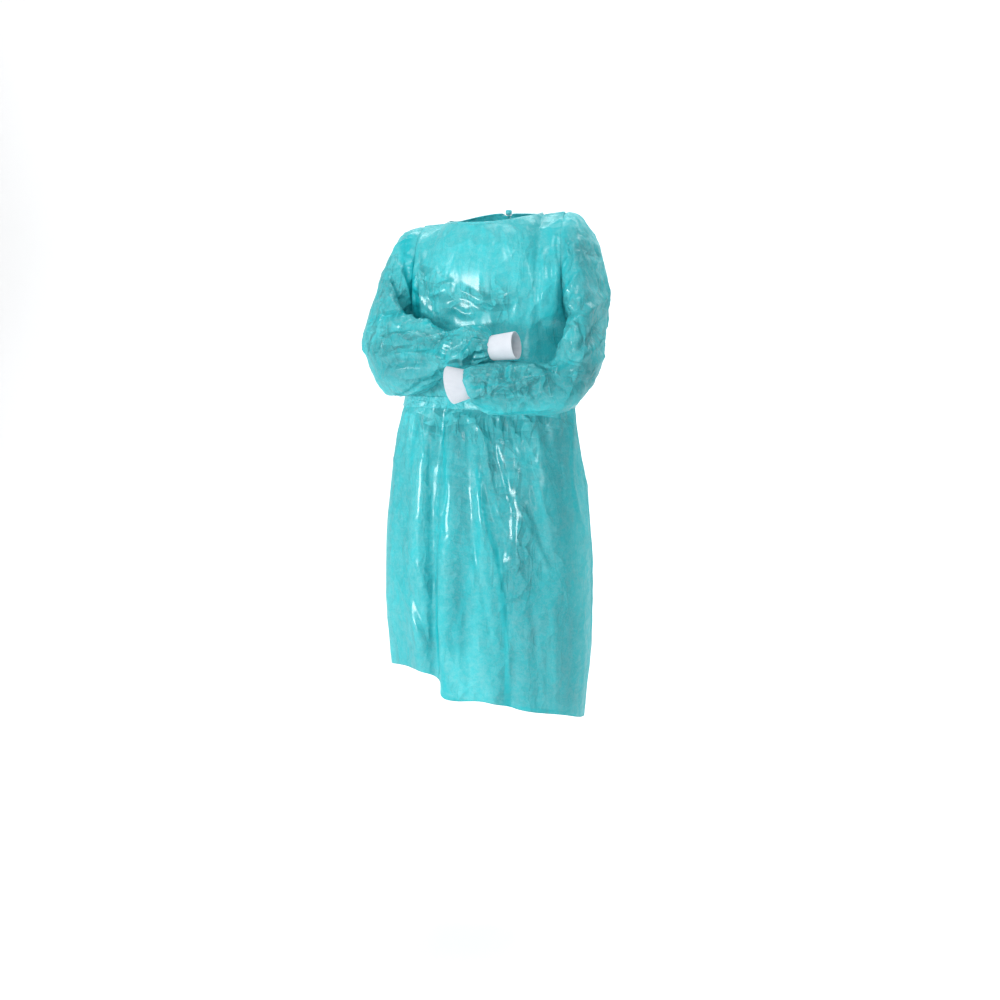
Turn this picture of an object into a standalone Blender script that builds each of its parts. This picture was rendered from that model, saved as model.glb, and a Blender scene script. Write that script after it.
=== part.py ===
"""A worn isolation gown with folded arms, built as its cut pieces of cloth.

Metres, +Z up. The gown faces -Y and its origin is on the shoulder line, in the middle of the neck,
where a dress form holds it by the shoulders. Angles run round the body in degrees: 0 is the front's middle,
90 the gown's left side, -90 its right side and 180 the back's middle.
"""

import math
from collections import namedtuple

import bpy
import numpy as np

# Cloth
WALL = 0.0015             # wall of every cut piece
SEAM_HALF = 0.00018       # each piece stops this far short of a seam
SEAM_GRID = 0.00005       # points nearer than this are the same place
BINDING_WALL = 0.0022     # folded strip round the neck
BINDING_WIDTH = 0.006
BINDING_ROWS = (1.0, 0.55, 0.1)
BINDING_SMOOTHING = 6     # passes that even out its direction round the neck
CUFF_WALL = 0.0020        # knitted cuff
BELT_LIFT = 0.0019        # outside of the belt over the cloth that it lies on
OVERLAP_LIFT = 0.0050     # left back over the right back

# Neck and shoulders
NECK_TURN = 50.0          # columns nearer the middle than this end on the neckline
NECK_MIDDLE = -0.003
NECK_HALF_WIDTH = 0.098
NECK_FRONT = 0.100
NECK_BACK = 0.086
NECK_FRONT_HEIGHT = -0.004
NECK_BACK_HEIGHT = 0.022
NECK_SIDE_HEIGHT = {-1: 0.002, 1: 0.017}
SHOULDER_TIP = {-1: (-0.155, 0.005, -0.002), 1: (0.138, 0.005, 0.023)}

# How far a column runs out, and down, as it leaves the top edge: in the middle and on the shoulder
YOKE_REACH_MIDDLE = 0.110
YOKE_REACH_SIDE = 0.260
YOKE_FALL_MIDDLE = 0.200
YOKE_FALL_SIDE = 0.065
PULL_START = 25.0         # the armhole draws the columns past this lean on to its edge
PULL_SPAN = 65.0

# Armhole, from the shoulder tip (0) to the underarm (1): how far out it is on each side, and how deep
ArmholeRow = namedtuple("ArmholeRow", "place right_x left_x depth")
ARMHOLE = (
    ArmholeRow(0.00, -0.155, 0.138, 0.000),
    ArmholeRow(0.25, -0.151, 0.147, 0.058),
    ArmholeRow(0.50, -0.147, 0.155, 0.084),
    ArmholeRow(0.75, -0.154, 0.153, 0.060),
    ArmholeRow(1.00, -0.164, 0.150, 0.000),
)
ARMHOLE_STEPS = 12
ARMHOLE_OVAL = 0.7        # 1 gives a round bottom, 0 a pointed one
UNDERARM = -0.200

# Level sections of the body below the arms, superellipses about a middle: 1 is round, less is boxier
FRONT_ROUNDNESS = 0.90
Section = namedtuple("Section", "height middle half_width front back back_roundness")
BODY = (
    Section(-0.200, -0.007, 0.157, 0.118, 0.120, 0.60),
    Section(-0.235, -0.007, 0.158, 0.118, 0.120, 0.65),
    Section(-0.280, -0.009, 0.166, 0.119, 0.123, 0.75),
    Section(-0.350, -0.016, 0.178, 0.105, 0.107, 0.88),
    Section(-0.400, -0.021, 0.187, 0.113, 0.120, 0.90),
    Section(-0.440, -0.023, 0.197, 0.124, 0.133, 0.90),
    Section(-0.500, -0.021, 0.205, 0.136, 0.148, 0.90),
    Section(-0.640, -0.020, 0.219, 0.150, 0.164, 0.90),
    Section(-0.800, -0.018, 0.217, 0.158, 0.168, 0.90),
    Section(-0.950, -0.018, 0.205, 0.160, 0.166, 0.90),
)
BELT_HEIGHTS = (-0.3380, -0.3500, -0.3620)
ROW_HEIGHTS = (-0.230, -0.265, -0.300) + BELT_HEIGHTS + (
    -0.395, -0.440, -0.500, -0.560, -0.630, -0.700, -0.770, -0.840, -0.905, -0.950)
WAIST = -0.350
HEM = -0.950

# The hem's rise over its level, by angle
HemRow = namedtuple("HemRow", "angle rise")
HEMLINE = (
    HemRow(-180.0, 0.004),
    HemRow(-130.0, 0.018),
    HemRow(-90.0, 0.046),
    HemRow(-45.0, 0.062),
    HemRow(-21.0, 0.054),
    HemRow(-11.0, 0.024),
    HemRow(12.0, 0.018),
    HemRow(28.0, 0.004),
    HemRow(60.0, -0.015),
    HemRow(90.0, -0.037),
    HemRow(130.0, -0.020),
    HemRow(180.0, 0.004),
)

# The left back lifts off the right one from this far before the overlap, below its first rows
LIFT_BEFORE = 24.0
LIFT_SPAN = 18.0
LIFT_TOP = 0.12

# Overlap of the two backs past the middle, in degrees, by drop (see body_point)
OverlapRow = namedtuple("OverlapRow", "drop past_middle")
OVERLAP = (
    OverlapRow(0.00, -2.2),
    OverlapRow(0.25, 2.0),
    OverlapRow(1.00, 11.0),
    OverlapRow(1.185, 14.0),
    OverlapRow(1.755, 16.0),
)

# Folds that hang in the body: they run from one angle and height to another, in (-) or out (+)
FOLD_END = 0.15           # share of a fold's length over which each end fades, in and past it
ARMHOLE_FADE = 14.0       # they fade this near an armhole, in degrees, and in this share of the top
TOP_FADE = 0.33
Fold = namedtuple("Fold", "top_angle top low_angle low depth spread")
BODY_FOLDS = (
    # Skirt front, from the gown's right to its left
    Fold(-50.0, -0.46, -46.0, -1.10, -0.022, 17.0),
    Fold(-56.0, -0.44, -22.0, -0.82, -0.006, 4.5),
    Fold(-34.0, -0.36, -38.0, -0.50, -0.007, 4.0),
    Fold(-17.5, -0.37, -18.5, -1.10, -0.036, 5.5),
    Fold(-9.0, -0.37, -9.5, -1.10, 0.016, 5.0),
    Fold(-3.0, -0.35, 2.0, -0.50, -0.006, 3.5),
    Fold(12.0, -0.38, 27.0, -1.10, -0.014, 4.5),
    Fold(5.0, -0.40, 19.0, -1.10, 0.008, 5.0),
    Fold(31.0, -0.50, 30.0, -0.78, 0.010, 4.0),
    Fold(24.0, -0.35, 26.0, -0.48, -0.006, 3.5),
    Fold(38.0, -0.37, 61.0, -0.72, 0.010, 5.0),
    Fold(50.0, -0.35, 52.0, -0.52, -0.008, 4.5),
    Fold(74.0, -0.35, 76.0, -0.58, -0.011, 5.0),
    # Skirt sides and back
    Fold(-78.0, -0.35, -74.0, -0.72, -0.009, 6.0),
    Fold(-112.0, -0.35, -106.0, -1.10, -0.016, 7.0),
    Fold(-138.0, -0.37, -130.0, -0.86, -0.011, 6.0),
    Fold(-158.0, -0.34, -166.0, -1.10, -0.014, 7.0),
    Fold(104.0, -0.35, 100.0, -1.10, -0.014, 7.0),
    Fold(126.0, -0.38, 132.0, -0.90, -0.013, 6.0),
    Fold(150.0, -0.34, 144.0, -1.10, -0.016, 7.0),
    Fold(172.0, -0.43, 176.0, -1.10, 0.010, 8.0),
    # Bodice, gathered on to the belt
    Fold(-58.0, -0.06, -60.0, -0.24, -0.006, 5.0),
    Fold(52.0, -0.05, 50.0, -0.24, -0.006, 5.0),
    Fold(-30.0, -0.27, -34.0, -0.36, -0.007, 4.0),
    Fold(-8.0, -0.26, -6.0, -0.36, -0.006, 4.0),
    Fold(20.0, -0.27, 22.0, -0.36, -0.007, 4.0),
    Fold(44.0, -0.26, 48.0, -0.36, -0.007, 4.5),
    Fold(-122.0, -0.08, -132.0, -0.38, -0.009, 6.0),
    Fold(-152.0, -0.18, -156.0, -0.38, -0.010, 6.0),
    Fold(118.0, -0.10, 128.0, -0.38, -0.009, 6.0),
    Fold(146.0, -0.16, 152.0, -0.38, -0.010, 6.0),
)

# Sleeve rings round the upper arm, by four points: at its front, outer side, back and underside
ArmRing = namedtuple(
    "ArmRing", "front_x front_y front_z side_x side_y side_z back_x back_y back_z under_x under_y under_z")
RIGHT_ARM = (
    ArmRing(-0.158, -0.092, -0.112, -0.198, 0.000, -0.009, -0.165, 0.088, -0.118, -0.175, -0.002, -0.203),
    ArmRing(-0.164, -0.100, -0.122, -0.207, -0.005, -0.026, -0.183, 0.086, -0.134, -0.183, -0.008, -0.208),
    ArmRing(-0.167, -0.109, -0.133, -0.219, -0.015, -0.056, -0.197, 0.078, -0.155, -0.188, -0.016, -0.216),
    ArmRing(-0.166, -0.118, -0.145, -0.230, -0.032, -0.092, -0.208, 0.062, -0.180, -0.191, -0.026, -0.226),
    ArmRing(-0.160, -0.127, -0.157, -0.239, -0.056, -0.130, -0.218, 0.040, -0.206, -0.190, -0.037, -0.234),
    ArmRing(-0.149, -0.134, -0.168, -0.240, -0.085, -0.168, -0.227, 0.012, -0.229, -0.184, -0.049, -0.239),
    ArmRing(-0.133, -0.139, -0.179, -0.241, -0.124, -0.207, -0.233, -0.018, -0.250, -0.173, -0.060, -0.241),
    ArmRing(-0.116, -0.141, -0.189, -0.222, -0.153, -0.246, -0.234, -0.048, -0.269, -0.160, -0.070, -0.240),
)
LEFT_ARM = (
    ArmRing(0.168, -0.092, -0.100, 0.160, 0.004, 0.024, 0.170, 0.086, -0.104, 0.161, -0.002, -0.203),
    ArmRing(0.176, -0.100, -0.110, 0.178, 0.001, 0.009, 0.184, 0.082, -0.120, 0.170, -0.009, -0.209),
    ArmRing(0.180, -0.110, -0.124, 0.197, -0.010, -0.023, 0.196, 0.074, -0.142, 0.177, -0.019, -0.218),
    ArmRing(0.183, -0.121, -0.141, 0.213, -0.026, -0.060, 0.207, 0.060, -0.168, 0.181, -0.030, -0.229),
    ArmRing(0.184, -0.132, -0.161, 0.223, -0.047, -0.102, 0.214, 0.040, -0.196, 0.182, -0.044, -0.240),
    ArmRing(0.183, -0.142, -0.184, 0.231, -0.075, -0.143, 0.214, 0.015, -0.224, 0.183, -0.057, -0.250),
    ArmRing(0.180, -0.151, -0.208, 0.229, -0.106, -0.186, 0.216, -0.012, -0.252, 0.182, -0.070, -0.260),
    ArmRing(0.175, -0.158, -0.232, 0.238, -0.137, -0.230, 0.221, -0.040, -0.280, 0.178, -0.083, -0.269),
    ArmRing(0.168, -0.163, -0.254, 0.230, -0.166, -0.280, 0.214, -0.073, -0.308, 0.172, -0.095, -0.277),
    ArmRing(0.157, -0.167, -0.271, 0.203, -0.193, -0.334, 0.200, -0.111, -0.330, 0.163, -0.106, -0.283),
)

# Sleeve rings round the forearm: the point on the crook's side, the point across from it, and the
# depths of the ring's front and back halves
Ring = namedtuple("Ring", "crook_x crook_y crook_z outer_x outer_y outer_z front back")
RIGHT_FOREARM = (
    Ring(-0.099, -0.150, -0.188, -0.213, -0.065, -0.302, 0.076, 0.030),
    Ring(-0.087, -0.158, -0.191, -0.192, -0.084, -0.336, 0.074, 0.030),
    Ring(-0.073, -0.165, -0.198, -0.163, -0.104, -0.340, 0.070, 0.030),
    Ring(-0.057, -0.172, -0.205, -0.121, -0.124, -0.328, 0.066, 0.030),
    Ring(-0.039, -0.177, -0.212, -0.081, -0.143, -0.308, 0.060, 0.032),
    Ring(-0.021, -0.180, -0.205, -0.047, -0.160, -0.288, 0.056, 0.036),
    Ring(-0.002, -0.183, -0.196, -0.016, -0.172, -0.277, 0.052, 0.040),
    Ring(0.018, -0.185, -0.194, 0.013, -0.180, -0.272, 0.050, 0.042),
    Ring(0.037, -0.187, -0.198, 0.034, -0.185, -0.268, 0.044, 0.038),
    Ring(0.049, -0.187, -0.214, 0.053, -0.186, -0.261, 0.029, 0.029),
)
LEFT_FOREARM = (
    Ring(0.148, -0.176, -0.269, 0.182, -0.128, -0.352, 0.064, 0.042),
    Ring(0.135, -0.185, -0.266, 0.165, -0.144, -0.357, 0.060, 0.044),
    Ring(0.116, -0.194, -0.264, 0.138, -0.162, -0.359, 0.057, 0.046),
    Ring(0.095, -0.203, -0.264, 0.112, -0.179, -0.360, 0.055, 0.048),
    Ring(0.075, -0.212, -0.264, 0.086, -0.196, -0.361, 0.053, 0.048),
    Ring(0.056, -0.220, -0.265, 0.060, -0.210, -0.359, 0.051, 0.047),
    Ring(0.039, -0.229, -0.267, 0.048, -0.221, -0.354, 0.048, 0.045),
    Ring(0.027, -0.236, -0.270, 0.040, -0.232, -0.342, 0.040, 0.038),
    Ring(0.019, -0.240, -0.277, 0.032, -0.238, -0.327, 0.031, 0.031),
)
SLEEVE_POINTS = 2 * ARMHOLE_STEPS
QUARTER = SLEEVE_POINTS // 4
HALF_STEP_RINGS = 3       # the last rings have one more between them, for the gathers
GATHER_DEPTH = 0.0035     # gathers where the sleeve meets its cuff, one every second point
GATHER_RINGS = 3.0
ARMHOLE_RINGS = 4.0       # the first rings keep something of the armhole's shape
GATHER_SEAM_RINGS = 0.8   # they shrink to nothing over this, next to the cuff

# Cuffs: the open end of each, with one swollen ring between it and the seam
RIGHT_CUFF_END = Ring(0.095, -0.188, -0.206, 0.102, -0.187, -0.258, 0.031, 0.031)
LEFT_CUFF_END = Ring(-0.017, -0.248, -0.270, -0.002, -0.248, -0.340, 0.036, 0.036)
CUFF_STEPS = 4

# Folds in the sleeves: from one ring and turn to another, in (-) or out (+); turn 0 is at the front
# and then the crook, 90 on the outer side, 180 at the back and the elbow, 270 on the underside
SleeveFold = namedtuple("SleeveFold", "ring_a turn_a ring_b turn_b depth spread")
RIGHT_FOLDS = (
    SleeveFold(1.2, 40.0, 3.6, 110.0, -0.009, 0.016),
    SleeveFold(4.4, 130.0, 5.2, 55.0, -0.011, 0.015),
    SleeveFold(7.0, 30.0, 7.6, 150.0, -0.009, 0.013),
    SleeveFold(8.3, 118.0, 13.0, 136.0, -0.012, 0.013),
    SleeveFold(9.0, 20.0, 11.5, 84.0, -0.008, 0.012),
    SleeveFold(2.0, 150.0, 7.0, 200.0, -0.008, 0.018),
)
LEFT_FOLDS = (
    SleeveFold(0.8, 20.0, 4.0, 90.0, -0.009, 0.016),
    SleeveFold(3.5, 10.0, 6.0, 120.0, -0.009, 0.014),
    SleeveFold(9.0, 10.0, 6.8, 130.0, -0.012, 0.013),
    SleeveFold(9.5, 40.0, 14.0, 110.0, -0.009, 0.013),
    SleeveFold(11.0, 140.0, 15.5, 100.0, -0.007, 0.012),
    SleeveFold(2.0, 150.0, 8.0, 200.0, -0.008, 0.018),
)
RING_PITCH = 0.020        # rough sizes of a ring's step and of a degree round a sleeve
DEGREE_PITCH = 0.0013

# Ties at the back: knots' half sizes, and tails that hang from them over the cloth
NECK_KNOT = (0.0062, 0.0062, 0.0055)
NECK_KNOT_OUT = (0.0, 0.0045, 0.0026)
WAIST_KNOT = (0.0150, 0.0060, 0.0120)
KNOT_ROUND = 0.0032
KNOT_SEGMENTS = 3
KNOT_CLEAR = -0.0009      # the waist knot's flat from the edges of the belt's ends
Tail = namedtuple("Tail", "top low angle_top angle_low half_width clear_top clear_low")
NECK_TAILS = {
    "neck_tie_left": Tail(0.042, 0.92, 180.8, 187.0, 0.0035, 0.0045, 0.0030),
    "neck_tie_right": Tail(0.042, 0.86, 179.2, 171.0, 0.0035, 0.0075, 0.0060),
}
WAIST_TAILS = {
    "waist_tie_left": Tail(1.1625, 1.450, 181.6, 176.0, 0.0090, 0.0040, 0.0045),
    "waist_tie_right": Tail(1.1625, 1.410, 181.6, 188.5, 0.0090, 0.0075, 0.0080),
}
TAIL_STEPS = 10
TAIL_BEND = 1.4           # a tail swings aside more towards its free end
TAIL_BACK = 0.05          # a point in front of it, inside the gown

BELT_KNOT_TURN = 3.6      # the belt's ends stop this far each side of the back's middle
BELT_END_REACH = 0.35     # share of the next column that each end goes on under the knot
BELT_STEP_TURN = 5.0      # it leaves the right back this far before the left back's edge
BELT_STEP_RISE = 0.0015   # and is this much further off it there
LEAST_MITRE = 0.6         # keeps the wall's mitre short where two pieces meet in a narrow fold

SPINE_DROP = -0.10        # a point inside the gown, this far under a point of its cloth
SHARP_ANGLE = 50.0

# Columns of the panels
SHOULDER_STEPS = 6
FRONT_NECK_STEPS = 24
BACK_NECK_STEPS = 11

CLOTH_COLOUR = (0.12, 0.60, 0.64, 1.0)
BINDING_COLOUR = (0.05, 0.66, 0.69, 1.0)
KNIT_COLOUR = (0.76, 0.80, 0.84, 1.0)


def unit(vectors):
    """Vectors of length one."""
    length = np.linalg.norm(vectors, axis=-1, keepdims=True)
    return vectors / np.maximum(length, 1e-12)


def smoothstep(value):
    """0 to 1 with soft ends."""
    value = min(max(value, 0.0), 1.0)
    return value * value * (3.0 - 2.0 * value)


def smooth_row(places, rows, at):
    """Read a table between its rows, on a smooth curve that passes through every row."""
    rows = np.asarray(rows, dtype=float)
    places = np.asarray(places, dtype=float)
    at = min(max(at, places[0]), places[-1])
    slopes = np.gradient(rows, places, axis=0)
    low = min(int(np.searchsorted(places, at, side="right")) - 1, len(places) - 2)
    span = places[low + 1] - places[low]
    t = (at - places[low]) / span
    start = (1 + 2 * t) * (1 - t) ** 2 * rows[low] + t * (1 - t) ** 2 * span * slopes[low]
    end = t * t * (3 - 2 * t) * rows[low + 1] + t * t * (t - 1) * span * slopes[low + 1]
    return start + end


def fold_depth(angle, height):
    """How far the body's folds move a point in or out."""
    total = 0.0
    for fold in BODY_FOLDS:
        length = fold.top - fold.low
        t = (fold.top - height) / length
        if t <= -FOLD_END or t >= 1.0 + FOLD_END:
            continue
        middle = fold.top_angle + (fold.low_angle - fold.top_angle) * t
        away = (angle - middle + 180.0) % 360.0 - 180.0
        fade = 2.0 * FOLD_END
        ends = smoothstep((t + FOLD_END) / fade) * smoothstep((1.0 + FOLD_END - t) / fade)
        total += fold.depth * ends * math.exp(-(away / fold.spread) ** 2)
    return total


def body_section(height):
    """The level section of the body at a height."""
    row = smooth_row([-section.height for section in BODY], BODY, -height)
    return Section(*row)


def hem_rise(angle):
    """The hem's rise over its level at an angle."""
    angle = (angle + 180.0) % 360.0 - 180.0
    return float(smooth_row([row.angle for row in HEMLINE], HEMLINE, angle)[1])


def ring_point(angle, height):
    """A point of the body below the underarm, with the direction that faces out of it."""
    section = body_section(height)
    turn = math.radians(angle)
    in_front = math.cos(turn) > 0.0
    depth = section.front if in_front else section.back
    roundness = FRONT_ROUNDNESS if in_front else section.back_roundness
    across = math.copysign(abs(math.sin(turn)) ** roundness, math.sin(turn))
    along = math.copysign(abs(math.cos(turn)) ** roundness, math.cos(turn))
    out = unit(np.array((math.sin(turn) / section.half_width, -math.cos(turn) / depth, 0.0)))
    x = section.middle + section.half_width * across
    point = np.array((x, -depth * along, height))
    below_waist = max((height - WAIST) / (HEM - WAIST), 0.0)
    point[2] += hem_rise(angle) * below_waist ** 2
    return point, out


def neck_point(side, lean, face):
    """The neckline at a lean of degrees from the middle of the front or the back."""
    turn = math.radians(lean / NECK_TURN * 90.0)
    depth = NECK_BACK if face > 0 else -NECK_FRONT
    middle_height = NECK_BACK_HEIGHT if face > 0 else NECK_FRONT_HEIGHT
    here = side if lean >= 0 else -side
    rise = (NECK_SIDE_HEIGHT[here] - middle_height) * math.sin(abs(turn)) ** 2
    x = NECK_MIDDLE + side * NECK_HALF_WIDTH * math.sin(turn)
    return np.array((x, depth * math.cos(turn), middle_height + rise))


def top_point(side, lean, face):
    """The top of a column: on the neckline, or on the shoulder seam past it."""
    if lean <= NECK_TURN:
        return neck_point(side, lean, face)
    along = (lean - NECK_TURN) / (90.0 - NECK_TURN)
    neck = neck_point(side, NECK_TURN, face)
    return neck + (np.array(SHOULDER_TIP[side]) - neck) * along


def armhole_point(side, face, place):
    """The armhole's edge, from the shoulder tip to the underarm."""
    row = ArmholeRow(*smooth_row([entry.place for entry in ARMHOLE], ARMHOLE, place))
    x = row.right_x if side < 0 else row.left_x
    top = SHOULDER_TIP[side][2]
    down = place + ((1.0 - math.cos(math.pi * place)) / 2.0 - place) * ARMHOLE_OVAL
    height = top + (UNDERARM - top) * down
    start_y = SHOULDER_TIP[side][1] * (1.0 - place)
    return np.array((x, start_y + face * row.depth, height))


def yoke_curve(side, face, lean, place):
    """A curve from a column's top to the underarm's ring, before it meets the armhole."""
    angle = side * (lean if face < 0 else 180.0 - lean)
    top = top_point(side, lean, face)
    low, _ = ring_point(angle, UNDERARM)
    over = smoothstep(abs(lean) / NECK_TURN)
    reach = YOKE_REACH_MIDDLE + (YOKE_REACH_SIDE - YOKE_REACH_MIDDLE) * over
    fall = YOKE_FALL_MIDDLE + (YOKE_FALL_SIDE - YOKE_FALL_MIDDLE) * over
    leave = np.array((low[0] - top[0], face * reach, -fall))
    arrive = np.array((0.0, 0.0, UNDERARM))
    t = (1.0 - math.cos(math.pi * place)) / 2.0
    start = (1 + 2 * t) * (1 - t) ** 2 * top + t * (1 - t) ** 2 * leave
    end = t * t * (3 - 2 * t) * low + t * t * (t - 1) * arrive
    return start + end


def yoke_point(face, angle, place):
    """A point above the underarm. The sides of the panel are drawn on to the armhole's edge."""
    side = -1 if angle < 0.0 else 1
    lean = abs(angle) if face < 0 else 180.0 - abs(angle)
    pull = smoothstep((lean - PULL_START) / PULL_SPAN)
    side_error = armhole_point(side, face, place) - yoke_curve(side, face, 90.0, place)
    return yoke_curve(side, face, lean, place) + side_error * pull


def body_point(face, angle, drop):
    """The body's outside. A drop of 0 is the top edge and 1 the underarm, then metres below that."""
    if drop > 1.0:
        height = UNDERARM - (drop - 1.0)
        point, out = ring_point(angle, height)
        return point + out * fold_depth(angle, height)
    point = yoke_point(face, angle, drop)
    _, out = ring_point(angle, UNDERARM)
    edges = smoothstep(abs(abs(angle) - 90.0) / ARMHOLE_FADE) * smoothstep(drop / TOP_FADE)
    return point + out * fold_depth(angle, point[2]) * edges


def past_middle(drop):
    """Degrees by which each back passes the middle of the back."""
    return float(smooth_row([row.drop for row in OVERLAP], OVERLAP, drop)[1])


def overlap_lift(angle, drop):
    """How far the left back stands off the right one that it covers. The angle runs past 180."""
    start = 180.0 - past_middle(drop) - LIFT_BEFORE
    return OVERLAP_LIFT * smoothstep((angle - start) / LIFT_SPAN) * smoothstep(drop / LIFT_TOP)


def back_point(side, angle, drop, lift=0.0):
    """A point of one back. The angle is counted past 180 on to the other side."""
    point = body_point(1, side * angle, drop)
    turn = math.radians(side * angle)
    if side > 0:
        lift = lift + overlap_lift(angle, drop)
    return point + np.array((math.sin(turn), -math.cos(turn), 0.0)) * lift


YOKE_ROWS = [step / ARMHOLE_STEPS for step in range(ARMHOLE_STEPS + 1)]
ROWS = YOKE_ROWS + [1.0 + UNDERARM - height for height in ROW_HEIGHTS]


def front_panel():
    """The front, from its right side seam to its left one. Each row is a level of the body."""
    shoulder = np.linspace(90.0, NECK_TURN, SHOULDER_STEPS + 1)
    neck = np.linspace(-NECK_TURN, NECK_TURN, FRONT_NECK_STEPS + 1)
    angles = [-angle for angle in shoulder[:-1]] + list(neck) + list(shoulder[::-1][1:])
    return np.array([[body_point(-1, angle, drop) for angle in angles] for drop in ROWS])


def back_panel(side):
    """One back. Its columns run in the front's direction round the body, so that the belt follows them."""
    shoulder = np.linspace(90.0, 180.0 - NECK_TURN, SHOULDER_STEPS + 1)
    rows = []
    for drop in ROWS:
        middle = np.linspace(180.0 - NECK_TURN, 180.0 + past_middle(drop), BACK_NECK_STEPS + 1)
        angles = list(shoulder) + list(middle[1:])
        rows.append([back_point(side, angle, drop) for angle in angles[::side]])
    return np.array(rows)


def armhole_ring(side):
    """The sleeve's first ring: from the armhole's front over the shoulder, down its back and under."""
    places = [step / ARMHOLE_STEPS for step in range(ARMHOLE_STEPS, 0, -1)]
    front = [body_point(-1, 90.0 * side, place) for place in places]
    back = [body_point(1, 90.0 * side, 1.0 - place) for place in places]
    return np.roll(front + back, -QUARTER, axis=0)


def oval(crook, front, outer, back):
    """A ring through four points, from the first one round."""
    middle = (crook + outer) / 2.0
    points = []
    for step in range(SLEEVE_POINTS):
        turn = 2.0 * math.pi * step / SLEEVE_POINTS
        side = front if step < SLEEVE_POINTS / 2 else back
        points.append(middle + (crook - middle) * math.cos(turn) + (side - middle) * abs(math.sin(turn)))
    return np.array(points)


def arm_ring(row):
    """The points of one ring round the upper arm."""
    return oval(*np.array(row).reshape(4, 3))


def forearm_ring(ring):
    """The points of one ring of a forearm or a cuff."""
    crook = np.array((ring.crook_x, ring.crook_y, ring.crook_z))
    outer = np.array((ring.outer_x, ring.outer_y, ring.outer_z))
    middle = (crook + outer) / 2.0
    along = unit(outer - crook)
    towards_front = np.array((0.0, -1.0, 0.0))
    across = unit(towards_front - along * towards_front.dot(along))
    return oval(crook, middle + across * ring.front, outer, middle - across * ring.back)


def sleeve_fold_depth(folds, ring, turn):
    """How far the sleeve's folds move a point in or out."""
    total = 0.0
    for fold in folds:
        start = np.array((fold.ring_a * RING_PITCH, fold.turn_a * DEGREE_PITCH))
        end = np.array((fold.ring_b * RING_PITCH, fold.turn_b * DEGREE_PITCH))
        here = np.array((ring * RING_PITCH, turn * DEGREE_PITCH))
        t = min(max((here - start).dot(end - start) / (end - start).dot(end - start), 0.0), 1.0)
        away = np.linalg.norm(here - start - (end - start) * t)
        total += fold.depth * math.exp(-(away / fold.spread) ** 2)
    return total


def sleeve(side, arm, forearm, folds):
    """A sleeve from its armhole to its cuff. Rows are rings, and columns run round the arm."""
    table = [arm_ring(row) for row in arm] + [forearm_ring(row) for row in forearm]
    last = len(table)
    places = list(range(1, last + 1))
    places += [last - 0.5 - step for step in range(HALF_STEP_RINGS)]
    hole = armhole_ring(side)
    off_oval = hole - oval(*hole[::QUARTER])
    rings = [hole]
    for place in sorted(places):
        points = smooth_row(range(1, last + 1), table, place)
        points += off_oval * (1.0 - smoothstep(place / ARMHOLE_RINGS))
        out = unit(points - points.mean(axis=0))
        left = last - place
        gather = smoothstep((GATHER_RINGS - left) / GATHER_RINGS) * min(left / GATHER_SEAM_RINGS, 1.0)
        reach = smoothstep(place / 2.0) * smoothstep(left / 2.0)
        for step in range(SLEEVE_POINTS):
            turn = 360.0 * step / SLEEVE_POINTS
            wave = GATHER_DEPTH * gather * (1 if step % 2 else -1)
            points[step] += out[step] * (wave + sleeve_fold_depth(folds, place, turn) * reach)
        rings.append(points)
    return np.array(rings)


def cuff(seam_ring, end_ring):
    """A knitted cuff from the sleeve's last ring to its open end."""
    start = forearm_ring(seam_ring)
    end = forearm_ring(end_ring)
    rings = []
    for step in range(CUFF_STEPS + 1):
        t = step / CUFF_STEPS
        rings.append(start + (end - start) * t)
    return np.array(rings)


def neck_edge(front, backs):
    """The panels' neckline, from the right back's free edge round the front to the left's."""
    first = SHOULDER_STEPS
    rows = []
    for level in (0, 1):
        right = backs[-1][level][:BACK_NECK_STEPS]
        middle = front[level][first:first + FRONT_NECK_STEPS + 1]
        left = backs[1][level][first + 1:]
        rows.append(np.concatenate((right, middle, left)))
    return rows


def neck_binding(front, backs):
    """The folded strip that goes on from the panels' neckline."""
    edge, below = neck_edge(front, backs)
    onwards = unit(edge - below)
    for _ in range(BINDING_SMOOTHING):
        onwards[1:-1] = unit(onwards[:-2] + 2.0 * onwards[1:-1] + onwards[2:])
    return np.array([edge + onwards * BINDING_WIDTH * part for part in BINDING_ROWS])


def grid_normals(points, wrap, inside):
    """Unit normals of a grid of points that face away from its inside."""
    down = np.gradient(points, axis=0)
    if wrap:
        round_it = np.roll(points, -1, axis=1) - np.roll(points, 1, axis=1)
    else:
        round_it = np.gradient(points, axis=1)
    normals = unit(np.cross(round_it, down))
    outwards = np.sum(normals * (points - inside))
    return normals if outwards > 0.0 else -normals


def seam_key(point):
    """A name for a place, so that two pieces find the seam that they share."""
    return tuple(int(round(value / SEAM_GRID)) for value in point)


def inwards(edge, inside):
    """Directions square to an edge that point into its piece."""
    along = unit(np.gradient(edge, axis=0))
    into = inside - edge
    return unit(into - along * np.sum(into * along, axis=-1, keepdims=True))


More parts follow.
